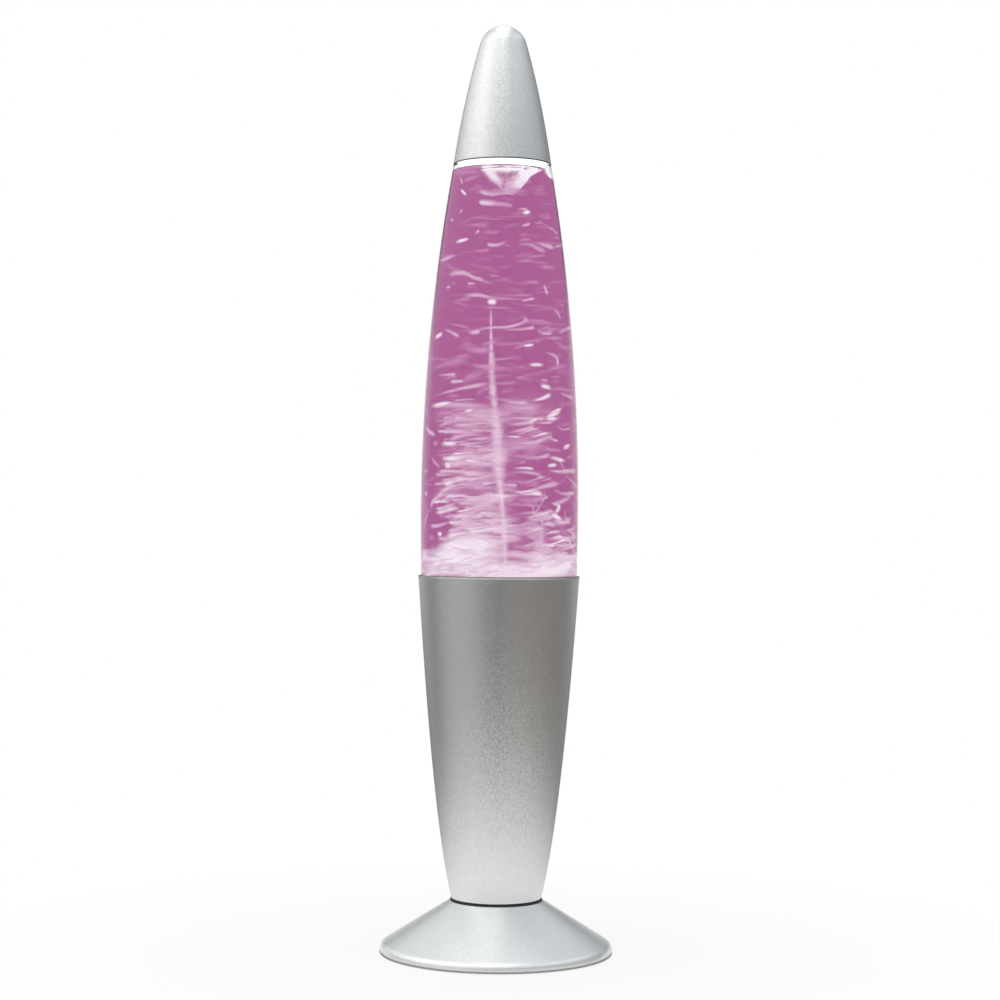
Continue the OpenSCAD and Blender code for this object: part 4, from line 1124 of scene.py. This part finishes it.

# %% Froth finish
# The froth's glow is painted light of the diodes, whitest on the right flank and at the mouth.
froth, tree, shader = new_finish("froth_white", GLOW)
spot = spot_in(tree)
x, y, z = axes_of(tree, spot)
side = soft_step(tree, x, (FUNNEL_X + 1.0) * MM, (FUNNEL_X + 4.5) * MM)
both = math_of(tree, "MAXIMUM", side, soft_step(tree, z, (FILL - 3.4) * MM, (FILL - 1.2) * MM))
foam = noise(tree, {"Vector": spot, "Scale": 420, "Detail": 3})
fill(tree, shader, {
    "Emission Color": blend(tree, both, (0.95, 0.9, 0.92, 1), (1.5, 2.9, 1.8, 1)),
    "Alpha": math_of(tree, "MAXIMUM", rescale(tree, foam, 0.3, 0.6, 0.25, 0.95), both),
})
paint(veil, froth)

# %% [markdown]
# ## Inner and hidden pieces
# The drive, the board and the hardware are rarely seen, but the lamp comes apart, so each has
# the finish of the real thing: brass, zinc plate, drawn steel, moulded plastics, rubber, solder
# mask and silicone. All of them use the grain group with their own tones and grain.

# %% Plain finishes
METAL = {"Metallic": 1.0}
DIODE = {"Emission Color": (1.0, 0.95, 0.88, 1), "Emission Strength": 2.0}
slot_looks = {
    "black_rubber": ("black_rubber", (0.022, 0.022, 0.023), (0.035, 0.035, 0.036), (0.6, 0.8), 1800, 0.05),
    "grey_rubber": ("grey_rubber", (0.05, 0.05, 0.053), (0.075, 0.075, 0.078), (0.7, 0.9), 1400, 0.08),
    "brass": ("brass", (0.68, 0.5, 0.24), (0.78, 0.62, 0.34), (0.25, 0.4), 600, 0.01, METAL),
    "zinc_steel": ("zinc_plate", (0.62, 0.64, 0.67), (0.72, 0.73, 0.74), (0.2, 0.35), 500, 0.01, METAL),
    "motor_steel": ("drawn_steel", (0.56, 0.57, 0.58), (0.66, 0.67, 0.68), (0.3, 0.45), 700, 0.01, METAL),
    "nickel": ("nickel_plate", (0.74, 0.73, 0.70), (0.82, 0.81, 0.78), (0.12, 0.22), 400, 0.005, METAL),
    "black_plastic": ("grained_plastic", (0.03, 0.03, 0.033), (0.042, 0.042, 0.046), (0.45, 0.6), 1600, 0.06),
    "dark_plastic": ("dark_plastic", (0.05, 0.05, 0.055), (0.07, 0.07, 0.075), (0.4, 0.55), 900, 0.02),
    "white_plastic": ("white_plastic", (0.78, 0.78, 0.75), (0.86, 0.86, 0.84), (0.35, 0.5), 900, 0.02),
    "button_plastic": ("button_plastic", (0.07, 0.07, 0.075), (0.09, 0.09, 0.095), (0.2, 0.3), 700, 0.01),
    "green_board": ("green_mask", (0.03, 0.17, 0.08), (0.06, 0.23, 0.12), (0.25, 0.4), 500, 0.02),
    "white_board": ("white_mask", (0.8, 0.8, 0.77), (0.88, 0.88, 0.85), (0.25, 0.4), 500, 0.02),
    "clear_silicone": ("silicone", (0.75, 0.75, 0.74), (0.82, 0.82, 0.82), (0.4, 0.55), 600, 0.02,
                       {"Transmission Weight": 0.35}),
    "frosted_lens": ("frosted_lens", (0.88, 0.88, 0.86), (0.95, 0.95, 0.93), (0.5, 0.65), 1500, 0.04,
                     {"Transmission Weight": 0.6}),
    "red_wire": ("red_wire", (0.5, 0.03, 0.025), (0.62, 0.05, 0.04), (0.35, 0.45), 800, 0.01),
    "white_wire": ("white_wire", (0.75, 0.75, 0.72), (0.82, 0.82, 0.8), (0.35, 0.45), 800, 0.01),
    "black_wire": ("black_wire", (0.025, 0.025, 0.026), (0.04, 0.04, 0.041), (0.35, 0.45), 800, 0.01),
    "led_white": ("diode_white", (0.9, 0.88, 0.78), (0.98, 0.96, 0.9), (0.3, 0.4), 900, 0.01, DIODE),
}
plain = {slot: grained(*look) for slot, look in slot_looks.items()}
print("plain finishes", len(plain))

# %% Paint the solids by their slots
slot_of = {row["node"]: row["material_slot"] for row in frame["record"]["subparts"]}
for name, node in sorted(nodes.items()):
    if slot_of.get(name) in plain:
        paint(node, plain[slot_of[name]])
print("painted", sum(1 for s in slot_of.values() if s in plain), "of", len(nodes))

# %% [markdown]
# ## Studio
# A round pale table, a soft surround and two soft boxes. For glossy rays the table shows a
# painted pool of light, brightest beside the lamp, with a painted contact shadow at the foot's
# edge, so the lower cup mirrors a bright patch, while the upper cup mirrors the dim room in front.
# The surround is brighter above and to the left. Camera and clear pieces see it as plain white, and
# the table fades into that white towards its edge, though it keeps the lamp's shadow.

# %% Table
table = ringed("table", [circle(r, 0, 96) for r in (420, 300, 200, 120, 60, 0)])
surface, tree, shader = new_finish("pale_table", {"Roughness": 0.8, "Base Color": (0.86, 0.86, 0.86, 1)})
spot = spot_in(tree)
reach = vector_of(tree, "LENGTH", {0: spot})
patch = vector_of(tree, "LENGTH", {0: vector_of(tree, "ADD", {0: spot, 1: (0.014, 0.035, 0)})})
# Glossy rays see a painted pool of light around the lamp and a painted contact shadow at the foot's edge.
painted_light_pool = tone_ramp(
    tree, patch, (0.05, (1.08, 1.08, 1.06)), (0.42, (0.22, 0.215, 0.21)),
    ((0.095, 0.97), (0.15, 0.88), (0.215, 0.67), (0.31, 0.4)), (1, 1, 0.99),
)
painted_contact_shadow = rescale(tree, reach, 0.05, 0.058, 0.25)
painted_reflection = add(tree, "ShaderNodeEmission", {"Color": painted_light_pool, "Strength": painted_contact_shadow})["Emission"]
white = add(tree, "ShaderNodeEmission", {})["Emission"]
ray, seen = seen_straight(tree)
share = product(tree, seen, rescale(tree, reach, 0.06, 0.26, 0.8))
shown = add(tree, "ShaderNodeMixShader", {"Fac": share, 1: shader.outputs["BSDF"], 2: white})["Shader"]
glossy = math_of(tree, "MULTIPLY_ADD", seen, -1, ray["Is Glossy Ray"])
glossy.node.use_clamp = True
mix = add(tree, "ShaderNodeMixShader", {"Fac": glossy, 1: shown, 2: painted_reflection})["Shader"]
fill(tree, tree.nodes["Material Output"], {"Surface": mix})
paint(table, surface)

# %% [markdown]
# The surround starts as a ramp of greys from the floor to the zenith. Masks along the three axes
# then pick out regions, and each region blends to its own tone: bright cards to the left and
# above, dim corners low down, and a dark strip behind, which draws the cap's outline.

# %% Surround
world = bpy.data.worlds.new("studio")
bpy.context.scene.world = world
world.use_nodes = True
tree = world.node_tree


def part(axis, low, high, top=1.0):
    """A soft mask along one axis of the ray's direction."""
    return soft_step(tree, axis, low, high, top)


way = add(tree, "ShaderNodeTexCoord", {})["Generated"]
x, y, z = axes_of(tree, way)
room = tone_ramp(
    tree, rescale(tree, z, -1, 1), (0.35, (0.26, 0.255, 0.25)), (1.0, (0.5, 0.51, 0.51)),
    ((0.4, 0.14), (0.44, 0.09), (0.5, 0.09), (0.535, 0.22), (0.57, 0.46), (0.61, 0.56), (0.66, 0.56),
     (0.7, 0.6), (0.735, 0.62), (0.785, 0.73), (0.81, 0.92), (0.855, 1.36), (0.89, 1.55), (0.935, 1.75),
     (0.955, 1.0), (0.97, 0.6)), (0.98, 1, 1),
)
up = part(z, 0.1, 0.4)
down = part(z, 0.15, -0.05)
left = part(x, -0.15, -0.75, 0.95)
right = part(x, 0.15, 0.75, 0.85)
above = product(tree, part(y, 0.0, 0.3), part(z, 0.68, 0.84))
back = product(tree, part(y, 0.25, 0.45), part(z, 0.35, 0.6))
low_back = product(tree, part(y, 0.2, 0.6), part(z, 0.46, 0.26))
behind = product(tree, part(y, 0.78, 0.92), part(z, 0.13, 0.18))
level_back = product(tree, part(y, 0.5, 0.8), part(z, -0.05, -0.01))
for masks, tone in (
    ((left, up), (1.22, 1.23, 1.22)),
    ((left, down, part(y, 0.6, -0.2)), (0.45, 0.45, 0.45)),
    ((right, up, part(z, 0.65, 0.4)), (0.44, 0.48, 0.52)),
    ((part(x, 0.05, 0.45), part(z, 0.5, 0.75)), (0.7, 0.74, 0.79)),
    ((part(x, 0.0, 0.4, 0.9), down), (0.24, 0.205, 0.18)),
    ((left, down, part(y, 0.3, 0.65)), (0.3, 0.31, 0.315)),
    ((above, part(x, -0.1, -0.3)), (0.72, 0.75, 0.75)),
    ((above, part(x, 0.1, 0.3)), (0.5, 0.53, 0.56)),
    ((back, part(x, -0.12, -0.3)), (0.75, 0.78, 0.78)),
    ((back, part(x, 0.1, 0.3)), (0.58, 0.6, 0.62)),
    ((low_back, part(x, 0.1, 0.5, 0.95)), (0.22, 0.23, 0.24)),
    ((low_back, up, part(x, -0.3, -0.7)), (0.55, 0.56, 0.54)),
    ((part(x, 0.4, 0.6), part(z, 0.48, 0.64)), (0.92, 0.95, 0.99)),
    ((behind, part(z, 0.62, 0.42)), (0.15, 0.155, 0.16)),
    ((level_back, part(z, 0.16, 0.12)), (1, 1, 1)),
):
    room = blend(tree, product(tree, *masks), room, (*tone, 1))
ray, seen = seen_straight(tree)
fill(tree, tree.nodes["Background"], {"Color": blend(tree, seen, room, (1, 1, 1, 1))})
print("surround", len(tree.nodes), "nodes")


# %% Soft boxes
def soft_box(name, place, target, size, power):
    """An area lamp that faces a point."""
    lamp = bpy.data.lights.new(name, "AREA")
    lamp.shape = "RECTANGLE"
    lamp.size, lamp.size_y = size
    lamp.energy = power
    holder = bpy.data.objects.new(name, lamp)
    holder.location = place
    holder.rotation_euler = (Vector(target) - Vector(place)).to_track_quat("-Z", "Y").to_euler()
    bpy.context.collection.objects.link(holder)
    print(name, power, "W")


soft_box("key_box", (-1.06, -0.3, 1.2), (0, 0, 0.3), (0.9, 0.5), 0.35)
soft_box("top_box", (0, 0, 1.5), (0, 0, 0), (0.7, 1.4), 2.6)

# %% [markdown]
# ## Camera
# The photograph was taken from a little under a metre, level with the rim of the cup, with a long
# lens and a slight roll, so that the lamp leans a hair to the right.

# %% Set up the camera
lens = bpy.data.cameras.new("camera")
lens.sensor_width = 36
lens.lens = 80
camera = bpy.data.objects.new("camera", lens)
camera.location = (0.0003, -EYE_FAR * MM, EYE_Z * MM)
camera.rotation_euler = (math.radians(90.774), math.radians(-0.49), 0)
bpy.context.collection.objects.link(camera)
bpy.context.scene.camera = camera
bpy.context.scene.view_settings.view_transform = "Standard"
